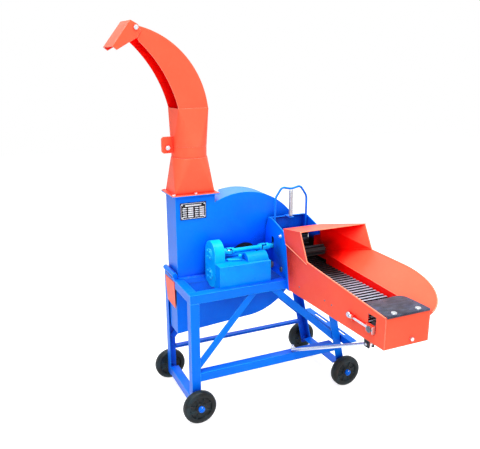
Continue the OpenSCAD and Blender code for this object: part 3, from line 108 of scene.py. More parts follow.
def math_node(tree, operation, first, second, clamp=False):
    made = add_node(tree, "ShaderNodeMath", operation=operation, use_clamp=clamp)
    feed(tree, made.inputs[0], first)
    feed(tree, made.inputs[1], second)
    return made.outputs[0]


def product(tree, first, second, clamp=False):
    return math_node(tree, "MULTIPLY", first, second, clamp)


def seen_ray(tree):
    """1 for a ray from the eye, a mirror or a pane, 0 for a ray that only carries light."""
    path = add_node(tree, "ShaderNodeLightPath")
    seen = math_node(tree, "MAXIMUM", path.outputs["Is Camera Ray"], path.outputs["Is Glossy Ray"])
    return math_node(tree, "MAXIMUM", seen, path.outputs["Is Transmission Ray"])


# %% White world
WORLD_LIGHT = 0.36

scene.view_settings.view_transform = "Standard"
world = bpy.data.worlds.new("studio")
scene.world = world
world.use_nodes = True
world_tree = world.node_tree
background = world_tree.nodes["Background"]
background.inputs["Color"].default_value = (1, 1, 1, 1)
extra = product(world_tree, seen_ray(world_tree), 1 - WORLD_LIGHT)
feed(world_tree, background.inputs["Strength"], math_node(world_tree, "ADD", extra, WORLD_LIGHT))
print("world light:", WORLD_LIGHT)

# %% Floor
FLOOR_HALF = 9
FLOOR_GLOW = 0.75

floor_mesh = bpy.data.meshes.new("floor")
floor_mesh.from_pydata([(x * FLOOR_HALF, y * FLOOR_HALF, 0) for x, y in ((-1, -1), (1, -1), (1, 1), (-1, 1))],
                       [], [(0, 1, 2, 3)])
floor = bpy.data.objects.new("floor", floor_mesh)
scene.collection.objects.link(floor)
floor_paint = bpy.data.materials.new("studio floor")
floor_paint.use_nodes = True
floor_shader = floor_paint.node_tree.nodes["Principled BSDF"]
floor_shader.inputs["Base Color"].default_value = (0.6, 0.6, 0.6, 1)
floor_shader.inputs["Roughness"].default_value = 0.9
floor_shader.inputs["Specular IOR Level"].default_value = 0.1
floor_shader.inputs["Emission Color"].default_value = (1, 1, 1, 1)
feed(floor_paint.node_tree, floor_shader.inputs["Emission Strength"],
     product(floor_paint.node_tree, seen_ray(floor_paint.node_tree), FLOOR_GLOW))
floor_mesh.materials.append(floor_paint)
print("floor:", 2 * FLOOR_HALF, "m square")

# %% Lamps
LOOK_AT = Vector((0, 0, 0.8))
LAMPS = {
    "overhead": ((-0.3, -0.5, 4.6), 3.2, 260),
    "key": ((-2.2, -3.4, 3.0), 2.6, 100),
    "fill": ((3.4, -2.4, 2.2), 2.6, 50),
    "rear": ((0.8, 3.6, 3.4), 2.8, 60),
}

for lamp_name, (spot, size, watts) in LAMPS.items():
    lamp_data = bpy.data.lights.new(lamp_name, "AREA")
    lamp_data.size = size
    lamp_data.energy = watts
    lamp = bpy.data.objects.new(lamp_name, lamp_data)
    lamp.location = spot
    lamp.rotation_mode = "QUATERNION"
    lamp.rotation_quaternion = (LOOK_AT - lamp.location).to_track_quat("-Z", "Y")
    scene.collection.objects.link(lamp)
print("lamps:", list(LAMPS))

# %% [markdown]
# ## Effects that several finishes share
# Worn edges with their painted highlights, painted shade in hollows and at the feed throat, uneven
# enamel, dust and tool marks turn up on many pieces. Each is a node group with named inputs, built once,
# and every material sets its own strength. A group hands out only masks, colours, heights and normals.
# The shader itself stays in the material.

# %% Group helper
FLOAT = "NodeSocketFloat"
COLOR = "NodeSocketColor"
VECTOR = "NodeSocketVector"


def new_group(name, inputs, outputs):
    """An empty shader group. inputs maps a name to its start value, outputs to a socket type."""
    group = bpy.data.node_groups.new(name, "ShaderNodeTree")
    for label, value in inputs.items():
        kind = FLOAT if isinstance(value, (int, float)) else COLOR
        socket = group.interface.new_socket(label, in_out="INPUT", socket_type=kind)
        socket.default_value = value
    for label, kind in outputs.items():
        group.interface.new_socket(label, in_out="OUTPUT", socket_type=kind)
    return group, group.nodes.new("NodeGroupInput"), group.nodes.new("NodeGroupOutput")


def noise(tree, scale, detail=3.0, stretch=None, roughness=0.55):
    """Noise in the machine's own coordinates, so the pattern rides along when a body moves."""
    spot = add_node(tree, "ShaderNodeTexCoord").outputs["Object"]
    if stretch:
        mapping = add_node(tree, "ShaderNodeMapping")
        mapping.inputs["Scale"].default_value = stretch
        feed(tree, mapping.inputs["Vector"], spot)
        spot = mapping.outputs["Vector"]
    made = add_node(tree, "ShaderNodeTexNoise")
    feed(tree, made.inputs["Vector"], spot)
    feed(tree, made.inputs["Scale"], scale)
    made.inputs["Detail"].default_value = detail
    made.inputs["Roughness"].default_value = roughness
    return made.outputs["Fac"]


def remap(tree, value, low, high, to_low=0.0, to_high=1.0):
    made = add_node(tree, "ShaderNodeMapRange", interpolation_type="SMOOTHSTEP")
    feed(tree, made.inputs["Value"], value)
    for label, number in (("From Min", low), ("From Max", high), ("To Min", to_low), ("To Max", to_high)):
        feed(tree, made.inputs[label], number)
    return made.outputs["Result"]


def mix_color(tree, share, first, second):
    made = add_node(tree, "ShaderNodeMix", data_type="RGBA")
    feed(tree, made.inputs["Factor"], share)
    feed(tree, made.inputs[6], first)
    feed(tree, made.inputs[7], second)
    return made.outputs[2]


print("helpers ready")

# %% [markdown]
# ### Worn edges and painted highlights
# Paint is thinnest where sheet metal turns a corner. A bevel node rounds the normal near an edge.
# Where the rounded normal leaves the true one there is an edge, and noise breaks that line up into wear.
# The unbroken line is handed out too, and the finishes paint a highlight along every edge with it.

# %% Worn edges and painted highlights
def make_edge_wear_and_highlight():
    group, given, out = new_group("Worn and highlit edges", {"Radius": 0.003, "Amount": 0.5, "Patch Size": 40.0},
                                  {"Mask": FLOAT, "Line": FLOAT, "Normal": VECTOR})
    bevel = add_node(group, "ShaderNodeBevel", samples=6)
    feed(group, bevel.inputs["Radius"], given.outputs["Radius"])
    geometry = add_node(group, "ShaderNodeNewGeometry")
    agree = add_node(group, "ShaderNodeVectorMath", operation="DOT_PRODUCT")
    feed(group, agree.inputs[0], bevel.outputs["Normal"])
    feed(group, agree.inputs[1], geometry.outputs["Normal"])
    line = remap(group, math_node(group, "SUBTRACT", 1.0, agree.outputs["Value"]), 0.015, 0.16)
    patches = remap(group, noise(group, given.outputs["Patch Size"], 5.0), 0.52, 0.66)
    broken_line = product(group, line, patches)
    bloom_and_sheen = product(group, broken_line, given.outputs["Amount"], clamp=True)
    feed(group, out.inputs["Mask"], bloom_and_sheen)
    feed(group, out.inputs["Line"], line)
    feed(group, out.inputs["Normal"], bevel.outputs["Normal"])
    return group


edge_wear_and_highlight = make_edge_wear_and_highlight()
print("group:", edge_wear_and_highlight.name)

# %% [markdown]
# ### Painted cavity shade
# Deep corners get painted shade: a finish mixes its paint there to a darker, richer colour. An ambient
# occlusion node finds such places and hands out one mask.

# %% Painted cavity shade
def make_cavity_shade():
    group, given, out = new_group("Painted cavity shade", {"Reach": 0.25, "Closed": 0.25, "Open": 0.8}, {"Mask": FLOAT})
    shade = add_node(group, "ShaderNodeAmbientOcclusion", samples=8)
    feed(group, shade.inputs["Distance"], given.outputs["Reach"])
    openness = remap(group, shade.outputs["AO"], given.outputs["Closed"], given.outputs["Open"])
    feed(group, out.inputs["Mask"], math_node(group, "SUBTRACT", 1.0, openness))
    return group


cavity_shade = make_cavity_shade()
print("group:", cavity_shade.name)

# %% [markdown]
# ### Painted shade at the feed throat
# Everything close to the press roller is painted dark, as the shade inside the feed throat. The mask grows
# towards the middle of that roller and ends above its top. A finish multiplies it by its own cavity mask,
# so the outside of the feed box stays light.

# %% Painted throat shade
RAGGED = 0.1
FADE_HEIGHT = 0.05


def middle_of(name):
    """The middle of a node's box."""
    return sum(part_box(name), Vector()) / 2


def make_throat_shade():
    group, given, out = new_group("Painted throat shade", {"Near": 0.1, "Far": 0.26}, {"Mask": FLOAT})
    away = add_node(group, "ShaderNodeVectorMath", operation="DISTANCE")
    feed(group, away.inputs[0], add_node(group, "ShaderNodeTexCoord").outputs["Object"])
    away.inputs[1].default_value = middle_of("press_roller")
    ragged = product(group, math_node(group, "SUBTRACT", noise(group, 16.0, 4.0), 0.5), RAGGED)
    reach = math_node(group, "ADD", away.outputs["Value"], ragged)
    close_by = remap(group, reach, given.outputs["Near"], given.outputs["Far"], 1.0, 0.0)
    place = add_node(group, "ShaderNodeSeparateXYZ")
    feed(group, place.inputs[0], add_node(group, "ShaderNodeTexCoord").outputs["Object"])
    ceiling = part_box("press_roller")[1].z
    below = remap(group, place.outputs["Z"], ceiling, ceiling + FADE_HEIGHT, 1.0, 0.0)
    feed(group, out.inputs["Mask"], product(group, close_by, below))
    return group


throat_shade = make_throat_shade()
print("group:", throat_shade.name)

# %% [markdown]
# ### Uneven coats
# Sprayed enamel has a fine orange-peel skin, and thin sheet under it is never quite flat. Three
# noises at the size of a hand, a finger and a grain give colour, gloss and height.

# %% Uneven coats
def make_coat():
    group, given, out = new_group("Uneven coat",
                                  {"Paint": (0.5, 0.5, 0.5, 1), "Thin": (0.6, 0.6, 0.6, 1), "Variation": 0.4,
                                   "Gloss Low": 0.25, "Gloss High": 0.42, "Peel Size": 420.0, "Wave": 0.5},
                                  {"Color": COLOR, "Roughness": FLOAT, "Height": FLOAT})
    cloud = remap(group, noise(group, 4.5, 3.0), 0.3, 0.75)
    speck = remap(group, noise(group, 70.0, 2.0), 0.45, 0.75)
    mottled = math_node(group, "ADD", product(group, cloud, 0.75), product(group, speck, 0.25))
    share = product(group, mottled, given.outputs["Variation"])
    feed(group, out.inputs["Color"], mix_color(group, share, given.outputs["Paint"], given.outputs["Thin"]))
    gloss = add_node(group, "ShaderNodeMix", data_type="FLOAT")
    feed(group, gloss.inputs["Factor"], noise(group, 18.0, 4.0))
    feed(group, gloss.inputs[2], given.outputs["Gloss Low"])
    feed(group, gloss.inputs[3], given.outputs["Gloss High"])
    feed(group, out.inputs["Roughness"], gloss.outputs[0])
    peel = product(group, noise(group, given.outputs["Peel Size"], 1.5), 0.12)
    wave = product(group, noise(group, 9.0, 1.0), given.outputs["Wave"])
    feed(group, out.inputs["Height"], math_node(group, "ADD", peel, wave))
    return group


uneven_coat = make_coat()
print("group:", uneven_coat.name)

# %% [markdown]
# ### Dust
# Chaff dust settles on faces that look up and splashes on everything near the ground.

# %% Dust
def make_dust():
    group, given, out = new_group("Settled dust", {"Amount": 0.3, "Splash Height": 0.35}, {"Mask": FLOAT})
    geometry = add_node(group, "ShaderNodeNewGeometry")
    slope = add_node(group, "ShaderNodeSeparateXYZ")
    feed(group, slope.inputs[0], geometry.outputs["Normal"])
    upward = remap(group, slope.outputs["Z"], 0.3, 1.0, 0.0, 0.8)
    place = add_node(group, "ShaderNodeSeparateXYZ")
    feed(group, place.inputs[0], add_node(group, "ShaderNodeTexCoord").outputs["Object"])
    splash = remap(group, place.outputs["Z"], 0.0, given.outputs["Splash Height"], 1.0, 0.0)
    either = math_node(group, "MAXIMUM", upward, splash)
    grains = remap(group, noise(group, 26.0, 6.0, roughness=0.7), 0.4, 0.75)
    speckled = product(group, either, grains)
    feed(group, out.inputs["Mask"], product(group, speckled, given.outputs["Amount"], clamp=True))
    return group


settled_dust = make_dust()
print("group:", settled_dust.name)

# %% [markdown]
# ### Tool marks
# Turned, ground and drawn steel shows fine lines in the direction of the work. Stretched noise makes
# such lines without a texture map, and its stretch is set for each finish.

# %% Tool marks
def make_tool_marks(name, stretch):
    group, given, out = new_group(name, {"Depth": 0.5, "Fineness": 60.0}, {"Value": FLOAT, "Height": FLOAT})
    lines = noise(group, given.outputs["Fineness"], 4.0, stretch, 0.7)
    feed(group, out.inputs["Value"], remap(group, lines, 0.3, 0.7))
    feed(group, out.inputs["Height"], product(group, lines, given.outputs["Depth"]))
    return group


cross_marks = make_tool_marks("Marks along X", (1.0, 14.0, 14.0))
round_marks = make_tool_marks("Marks across Y", (9.0, 1.0, 9.0))
print("groups:", cross_marks.name, round_marks.name)

# %% [markdown]
# ## Enamel finishes
# The frame and casing are one bright blue, the trough and chute one orange red. Both are the same
# recipe: a coat with painted shade that turns deeper in cavities, a painted highlight along edges, a little
# bare steel where edges are worn, and dust. A full-strength reflection would grey such strong colours, so
# it is kept low. The feed box gets lighter painted shade in its hollows, and the plate that stands in the
# throat takes more painted throat shade. The gearbox is a rough casting under the same blue, so its skin
# is coarser, and its small parts get a lighter copy of that blue as a painted highlight.

# %% Enamel
def from_hex(code):
    """A written screen colour as the linear colour that a shader takes."""
    parts = [int(code[i:i + 2], 16) / 255 for i in (1, 3, 5)]
    linear = [p / 12.92 if p <= 0.04045 else ((p + 0.055) / 1.055) ** 2.4 for p in parts]
    return (*linear, 1.0)


def use_group(tree, group, **values):
    made = add_node(tree, "ShaderNodeGroup", node_tree=group)
    for label, value in values.items():
        feed(tree, made.inputs[label.replace("_", " ")], value)
    return made


def new_material(name):
    material = bpy.data.materials.new(name)
    material.use_nodes = True
    return material, material.node_tree, material.node_tree.nodes["Principled BSDF"]


def bump(tree, height, normal, strength, distance):
    made = add_node(tree, "ShaderNodeBump")
    made.inputs["Strength"].default_value = strength
    made.inputs["Distance"].default_value = distance
    feed(tree, made.inputs["Height"], height)
    feed(tree, made.inputs["Normal"], normal)
    return made.outputs["Normal"]


DUST_COLOR = from_hex("#b9a88a")
THROAT_SHADE_COLOR = "#0c0807"
BARE_STEEL = from_hex("#8d8f92")


def enamel(name, paint, thin, edge, hollow_shade, deep_shade, peel=420.0, wave=0.5, bump_depth=0.0006,
           gloss=(0.26, 0.42), reach=0.4, shut=0.12, open_sky=0.7, throat_shade_color=THROAT_SHADE_COLOR, throat_shade_reach=(0.08, 0.2)):
    """A painted finish. Its colours are the full coat, a thin coat, a painted highlight along edges, painted
    shade in a hollow and darker painted shade in the deepest hollows.

    Walls within reach make a hollow for the painted shade: the whole of one where only the share shut of
    the sky is open, and none where open_sky of it is. The painted shade of the feed throat, in the colour
    soot, fades out over the two smear distances.
    """
    material, tree, shader = new_material(name)
    coat = use_group(tree, uneven_coat, Paint=from_hex(paint), Thin=from_hex(thin), Variation=0.7,
                     Gloss_Low=gloss[0], Gloss_High=gloss[1], Peel_Size=peel, Wave=wave)
    hollow = use_group(tree, cavity_shade, Reach=reach, Closed=shut, Open=open_sky)
    throat_shading = use_group(tree, throat_shade, Near=throat_shade_reach[0], Far=throat_shade_reach[1])
    wear_and_highlight = use_group(tree, edge_wear_and_highlight, Radius=0.0032, Amount=0.75, Patch_Size=55.0)
    dirt = use_group(tree, settled_dust, Amount=0.02, Splash_Height=0.12)
    # Painted shade: the paint turns towards the hollow colour in hollows and the deep colour in the deepest
    # ones.
    shade = product(tree, hollow.outputs["Mask"], 0.9)
    shaded = mix_color(tree, shade, coat.outputs["Color"], from_hex(hollow_shade))
    deep_shaded = mix_color(tree, remap(tree, hollow.outputs["Mask"], 0.7, 1.0), shaded, from_hex(deep_shade))
    unshaded = math_node(tree, "SUBTRACT", 1.0, hollow.outputs["Mask"])
    # Painted highlight: every edge outside the painted shade turns towards the lighter edge colour.
    edge_highlight = product(tree, wear_and_highlight.outputs["Line"], product(tree, unshaded, 0.7))
    edge_highlighted = mix_color(tree, edge_highlight, deep_shaded, from_hex(edge))
    chipped = mix_color(tree, product(tree, wear_and_highlight.outputs["Mask"], 0.5), edge_highlighted, BARE_STEEL)
    dusty = mix_color(tree, dirt.outputs["Mask"], chipped, DUST_COLOR)
    # Painted shade of the feed throat, laid only in hollows.
    hemmed_in = remap(tree, hollow.outputs["Mask"], 0.1, 0.45)
    throat_shaded = product(tree, throat_shading.outputs["Mask"], hemmed_in)
    feed(tree, shader.inputs["Base Color"], mix_color(tree, throat_shaded, dusty, from_hex(throat_shade_color)))
    rougher = product(tree, dirt.outputs["Mask"], 0.5)
    feed(tree, shader.inputs["Roughness"], math_node(tree, "ADD", coat.outputs["Roughness"], rougher))
    shader.inputs["Specular IOR Level"].default_value = 0.1
    shader.inputs["Coat Weight"].default_value = 0.03
    shader.inputs["Coat Roughness"].default_value = 0.15
    skin = bump(tree, coat.outputs["Height"], wear_and_highlight.outputs["Normal"], 0.35, bump_depth)
    feed(tree, shader.inputs["Normal"], skin)
    return material


# In each enamel the last three colours are a painted highlight along edges, painted shade in hollows and
# darker painted shade in the deepest hollows.
blue_enamel = enamel("blue enamel", "#0072f5", "#0084ff", "#28ccff", "#0038e0", "#001c94", open_sky=0.9)
# The feed box's hollow colours are close to its paint, so its painted shade stays light.
FEED_BLUE = ("#0072f5", "#0084ff", "#28ccff", "#0044f4", "#003ce8")
feed_blue = enamel("feed box blue enamel", *FEED_BLUE, reach=0.3)
# The right feed plate takes the painted throat shade over a wider reach.
throat_shaded_blue = enamel("throat blue enamel with painted shade", *FEED_BLUE, reach=0.3, throat_shade_reach=(0.15, 0.28))
CASTING = dict(peel=190.0, wave=0.8, bump_depth=0.002, gloss=(0.22, 0.36))
blue_casting = enamel("blue cast iron", "#0086f6", "#00aaff", "#38dcff", "#0040c8", "#001450",
                      reach=0.1, **CASTING)
# A lighter copy of the cast blue for the small parts, as a painted highlight.
highlit_casting = enamel("highlit blue cast iron", "#00a4fa", "#0cc8ff", "#50ecff", "#0068dc", "#0030a0",
                       reach=0.05, **CASTING)
# The orange's throat shade colour is a dark red.
orange_enamel = enamel("orange enamel", "#fd5a3e", "#ff684a", "#ffb096", "#fe0402", "#ff0000",
                       shut=0.32, open_sky=1.0, throat_shade_color="#8a0400")
# A lighter copy of the orange for the hems, as a painted highlight.
highlit_orange_hem = enamel("highlit orange hem", "#ff8a6a", "#ff9a7e", "#ffc4b0", "#ff4a2c", "#ff2a10", reach=0.02)
print("finishes:", blue_enamel.name, feed_blue.name, throat_shaded_blue.name, blue_casting.name, highlit_casting.name)
print("finishes:", orange_enamel.name, highlit_orange_hem.name)

# %% [markdown]
# ## Metal finishes
# Bolts and rods are zinc plated, drums and chain dark oiled steel, and the rollers nearly black. Straw
# rubs the slats grey. Knives, gears and the main shaft are bright, and the flywheel is a raw casting.

# %% Metal
OIL_STAIN = from_hex("#1b1815")


def metal(name, body, shine_and_highlight, marks, rough, edge_share, oil, metallic=0.9, in_throat_shade=False):
    """A metal finish with tool marks, edges lightened by the share given, partly as polish and partly as
    painted highlight, and oil stains.
    """
    material, tree, shader = new_material(name)
    lines = use_group(tree, marks, Depth=0.4, Fineness=70.0)
    wear_and_highlight = use_group(tree, edge_wear_and_highlight, Radius=0.0016, Amount=1.0, Patch_Size=30.0)
    streak = product(tree, lines.outputs["Value"], 0.35)
    streaked = mix_color(tree, streak, from_hex(body), from_hex(shine_and_highlight))
    # Edges lighten towards the shine colour: partly polish, partly painted highlight.
    edge_polish_and_highlight = product(tree, wear_and_highlight.outputs["Line"], edge_share)
    edge_lightened = mix_color(tree, edge_polish_and_highlight, streaked, from_hex(shine_and_highlight))
    stain = remap(tree, noise(tree, 35.0, 5.0), 0.45, 0.7, 0.0, oil)
    stained = mix_color(tree, stain, edge_lightened, OIL_STAIN)
    # Painted shade of the feed throat.
    if in_throat_shade:
        throat_shading = use_group(tree, throat_shade, Near=0.14, Far=0.34)
        stained = mix_color(tree, throat_shading.outputs["Mask"], stained, from_hex(THROAT_SHADE_COLOR))
    feed(tree, shader.inputs["Base Color"], stained)
    shader.inputs["Metallic"].default_value = metallic
    uneven = remap(tree, lines.outputs["Value"], 0.0, 1.0, rough - 0.08, rough + 0.08)
    feed(tree, shader.inputs["Roughness"], uneven)
    scored = bump(tree, lines.outputs["Height"], wear_and_highlight.outputs["Normal"], 0.3, 0.0004)
    feed(tree, shader.inputs["Normal"], scored)
    return material


zinc = metal("zinc plate", "#ccd4da", "#f4f6f8", cross_marks, 0.3, 0.4, 0.06)
turned_steel = metal("turned steel", "#a9adb2", "#e3e6e9", round_marks, 0.28, 0.5, 0.2)
oiled_steel = metal("oiled steel", "#454a52", "#b4bcc6", cross_marks, 0.42, 0.8, 0.3)
# The slats take the painted shade of the feed throat.
slat_steel = metal("rubbed slat steel", "#8a96ac", "#e6f0fc", cross_marks, 0.4, 0.75, 0.2, 0.35, in_throat_shade=True)
spring_steel = metal("spring steel", "#a4abb2", "#e4e8ec", round_marks, 0.36, 0.3, 0.1, metallic=0.6)
black_steel = metal("blackened steel", "#121418", "#5c626c", cross_marks, 0.42, 0.5, 0.3)
ribbed_steel = metal("ribbed roller steel", "#040508", "#2c323c", cross_marks, 0.4, 0.4, 0.3, metallic=0.2)
raw_casting = metal("raw cast iron", "#4a4c50", "#8b8f94", round_marks, 0.55, 0.4, 0.3)
print("finishes:", zinc.name, turned_steel.name, oiled_steel.name, slat_steel.name, spring_steel.name)
print("finishes:", black_steel.name, ribbed_steel.name, raw_casting.name)

# %% [markdown]
# ## Rubber and plate
# The wheels are moulded rubber with a grey bloom on the worn tread and a bluish painted sheen on their
# edges. The mat at the end of the trough is a smooth belt with faint ribs, whose crests are partly rubbed
# pale and partly painted with sheen. The bluish tint of both is a painted reflection of the sky. The plate
# on the tower is black enamel and carries no words.

# %% Rubber and plate
RUB_AND_SHEEN_COLOR = from_hex("#8e9cbe")


def rubber(name, body, bloom_and_sheen, rough, dust, ribs=0.0):
    """A rubber or plastic finish with a pale bloom, edges lightened as painted sheen and, where asked for,
    fine ribs with pale crests, partly rubbed and partly painted sheen.
    """
    material, tree, shader = new_material(name)
    wear_and_highlight = use_group(tree, edge_wear_and_highlight, Radius=0.004, Amount=0.8, Patch_Size=22.0)
    dirt = use_group(tree, settled_dust, Amount=dust, Splash_Height=0.25)
    bloom = remap(tree, noise(tree, 14.0, 4.0), 0.4, 0.75, 0.0, 0.6)
    body_mix = mix_color(tree, bloom, from_hex(body), from_hex(bloom_and_sheen))
    # Painted sheen: every edge turns towards the pale bluish colour.
    edge_sheen_mix = mix_color(tree, product(tree, wear_and_highlight.outputs["Line"], 0.35), body_mix, from_hex(bloom_and_sheen))
    uneven = remap(tree, noise(tree, 40.0, 3.0), 0.2, 0.8, rough - 0.1, rough + 0.1)
    feed(tree, shader.inputs["Roughness"], uneven)
    shader.inputs["Specular IOR Level"].default_value = 0.25
    grain = product(tree, noise(tree, 600.0, 2.0), 0.3)
    if ribs:
        wave = add_node(tree, "ShaderNodeTexWave", bands_direction="X")
        feed(tree, wave.inputs["Vector"], add_node(tree, "ShaderNodeTexCoord").outputs["Object"])
        wave.inputs["Scale"].default_value = ribs
        grain = math_node(tree, "ADD", grain, product(tree, wave.outputs["Fac"], 0.5))
        rubbed = remap(tree, noise(tree, 30.0, 5.0, (1.0, 4.0, 1.0)), 0.42, 0.66)
        # Pale rib crests: partly rubbed wear, partly painted sheen.
        crest_rub_and_sheen = product(tree, remap(tree, wave.outputs["Fac"], 0.55, 0.95, 0.0, 0.35), rubbed)
        edge_sheen_mix = mix_color(tree, crest_rub_and_sheen, edge_sheen_mix, RUB_AND_SHEEN_COLOR)
    feed(tree, shader.inputs["Base Color"], mix_color(tree, dirt.outputs["Mask"], edge_sheen_mix, DUST_COLOR))
    feed(tree, shader.inputs["Normal"], bump(tree, grain, wear_and_highlight.outputs["Normal"], 0.3, 0.0008))
    return material


# The bluish tint in these rubber colours is a painted reflection of the sky.
tyre_rubber = rubber("tyre rubber", "#03080c", "#22404c", 0.45, 0.02)
belt_rubber = rubber("belt rubber", "#10162a", "#3a4668", 0.34, 0.02, ribs=52.0)
plate_black = rubber("black plate enamel", "#0d0e10", "#1d2024", 0.3, 0.05)
print("finishes:", tyre_rubber.name, belt_rubber.name, plate_black.name)

# %% [markdown]
# ## Finishes for the frame's own nodes
# Most nodes already have their true shape and only need a finish.

# %% Give each node its finish
FINISHES = (
    (blue_enamel, "left_legs right_legs top_long_rails top_end_rails cross_rail lower_long_rails "
                  "lower_end_rails braces motor_rail stub_axles lower_casing casing_hinge upper_casing "
                  "bearing_bracket feed_rim bail"),
    (feed_blue, "feed_side_plates"),
    (blue_casting, "gearbox_body main_bearings drive_pulley"),
    (highlit_casting, "gear_cover upper_gear_shaft cardan_shaft shift_lever"),
    (orange_enamel, "side_guard chute_base chute chute_flap trough_left_panel trough_right_panel "
                    "trough_floor trough_end_plate hood"),
    (zinc, "chute_base_bolts chute_bolts trough_bolts support_rod tail_takeup cardan_ball"),
    (spring_steel, "tension_spring"),
    (turned_steel, "main_shaft knives ledger_knife lay_gear"),
    (slat_steel, "conveyor"),
    (oiled_steel, "conveyor_drive conveyor_tail lower_shaft drive_chain"),
    # The roller carriage is blackened as painted shade inside the feed box.
    (black_steel, "upper_roller lower_roller roller_carriage"),
    (ribbed_steel, "press_roller"),
    (raw_casting, "flywheel"),
    (tyre_rubber, "front_left_wheel front_right_wheel rear_left_wheel rear_right_wheel"),
    (belt_rubber, "rubber_flap"),
    (plate_black, "nameplate"),
)
finished = []
for finish, names in FINISHES:
    for name in names.split():
        nodes[name].data.materials.clear()
        nodes[name].data.materials.append(finish)
        finished.append(name)
print("finished:", len(finished), "bare:", sorted(set(nodes) - set(finished)))

# %% [markdown]
# Five nodes need a second finish on some of their faces. The ears under the trough that hold the
# support rod are black, and the upper roller's yoke outside the feed box is painted blue, in the lighter
# copy of the cast blue that serves as a painted highlight. The right feed plate stands in the throat and
# gets more painted shade than the left one. The sides and undersides of the slats are blackened as
# painted shade, so only their tops stay light, and the take-up blocks were sprayed along with the trough
# around them.

# %% Second finishes
def paint_faces(name, finish, wanted):
    """Gives a second finish to the faces of a node for which wanted(centre, normal) holds."""
    mesh = nodes[name].data
    mesh.materials.append(finish)
    count = 0
    for face in mesh.polygons:
        if wanted(face.center, face.normal):
            face.material_index = 1
            count += 1
    print("second finish on", name, "faces:", count)


EAR_DEPTH = 0.03
FLANGE = 0.01
SIDEWAYS = 0.9
UPWARD = 0.7
ROD_CLEAR = 0.006
BLOCK_HALF = 0.03

floor_low, floor_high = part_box("trough_floor")
feed_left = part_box("feed_side_plates")[0].x
feed_middle = middle_of("feed_side_plates").x
tail_middle = middle_of("conveyor_tail")


def on_rod_ear(centre, normal):
    inside = floor_low.x + FLANGE < centre.x < floor_high.x - FLANGE
    return centre.z < floor_high.z - EAR_DEPTH or (inside and abs(normal.x) > SIDEWAYS)


def on_takeup_block(centre, normal):
    beside_rod = abs(centre.z - tail_middle.z) > ROD_CLEAR
    return beside_rod and abs(centre.y - tail_middle.y) < BLOCK_HALF


paint_faces("trough_floor", black_steel, on_rod_ear)
# The yoke takes the lighter copy of the cast blue, a painted highlight.
paint_faces("upper_roller", highlit_casting, lambda centre, normal: centre.x < feed_left)
# The right plate gets the wider painted throat shade.
paint_faces("feed_side_plates", throat_shaded_blue, lambda centre, normal: centre.x > feed_middle)
# Painted shade: the slats' sides and undersides are blackened, so only their tops stay light.
paint_faces("conveyor", black_steel, lambda centre, normal: normal.z < UPWARD)
paint_faces("tail_takeup", orange_enamel, on_takeup_block)

# %% [markdown]
# ## Building forms
# New pieces are meshes. Most come from two moves: a profile spun about an axis, and a ring swept
# along a path. A piece then rides on the body it belongs to.

# %% Spin, sweep and place
def polar(radius, turn, along):
    """A point at a radius and a turn about the Z axis."""
    return Vector((radius * math.cos(turn), radius * math.sin(turn), along))


def spin(bm, profile, place, steps):
    """Spins a closed line of (radius, along) points about the Z axis of place."""
    rings = []
    for i in range(steps):
        turn = 2 * math.pi * i / steps
        rings.append([bm.verts.new(place @ polar(r, turn, a)) for r, a in profile])
    for i in range(steps):
        here, there = rings[i], rings[(i + 1) % steps]
        for k in range(len(profile)):
            n = (k + 1) % len(profile)
            bm.faces.new((here[k], there[k], there[n], here[n]))


def sweep(bm, path, radius, sides=10):
    """A round tube along a path."""
    last = len(path) - 1
    tangents = [(path[min(i + 1, last)] - path[max(i - 1, 0)]).normalized() for i in range(len(path))]
    side = tangents[0].orthogonal().normalized()
    rings = []
    for point, tangent in zip(path, tangents):
        side = (side - tangent * side.dot(tangent)).normalized()
        up = tangent.cross(side)
        rings.append([bm.verts.new(point + radius * (math.cos(a) * side + math.sin(a) * up))
                      for a in (2 * math.pi * k / sides for k in range(sides))])
    for here, there in zip(rings, rings[1:]):
        for k in range(sides):
            n = (k + 1) % sides
            bm.faces.new((here[k], here[n], there[n], there[k]))
    bm.faces.new(list(reversed(rings[0])))
    bm.faces.new(rings[-1])


def facing(point, direction):
    """A frame at point whose Z axis looks along direction."""
    return Matrix.Translation(point) @ Vector(direction).to_track_quat("Z", "Y").to_matrix().to_4x4()


def make_piece(name, bm, body, finish, soften=0.0, sharp=40):
    """Turns a bmesh into a piece that rides on a body."""
    bmesh.ops.recalc_face_normals(bm, faces=bm.faces)
    mesh = bpy.data.meshes.new(name)
    bm.to_mesh(mesh)
    bm.free()
    mesh.materials.append(finish)
    mesh.shade_smooth()
    mesh.set_sharp_from_angle(angle=math.radians(sharp))
    piece = bpy.data.objects.new(name, mesh)
    scene.collection.objects.link(piece)
    if soften:
        rounding = piece.modifiers.new("soft edges", "BEVEL")
        rounding.width = soften
        rounding.segments = 2
        rounding.limit_method = "ANGLE"
        rounding.angle_limit = math.radians(sharp)
    if body:
        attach(piece, body)
    print("piece:", name, "faces:", len(mesh.polygons))
    return piece


# %% [markdown]
# ## Wheels
# A solid moulded wheel has a rounded tread with two shallow grooves, a thick side ring, and a thin
# web stiffened by ribs between ring and hub. The section is spun and the ribs are set round it. Their
# numbers are shares of the wheel's radius, and across the wheel of half its width.

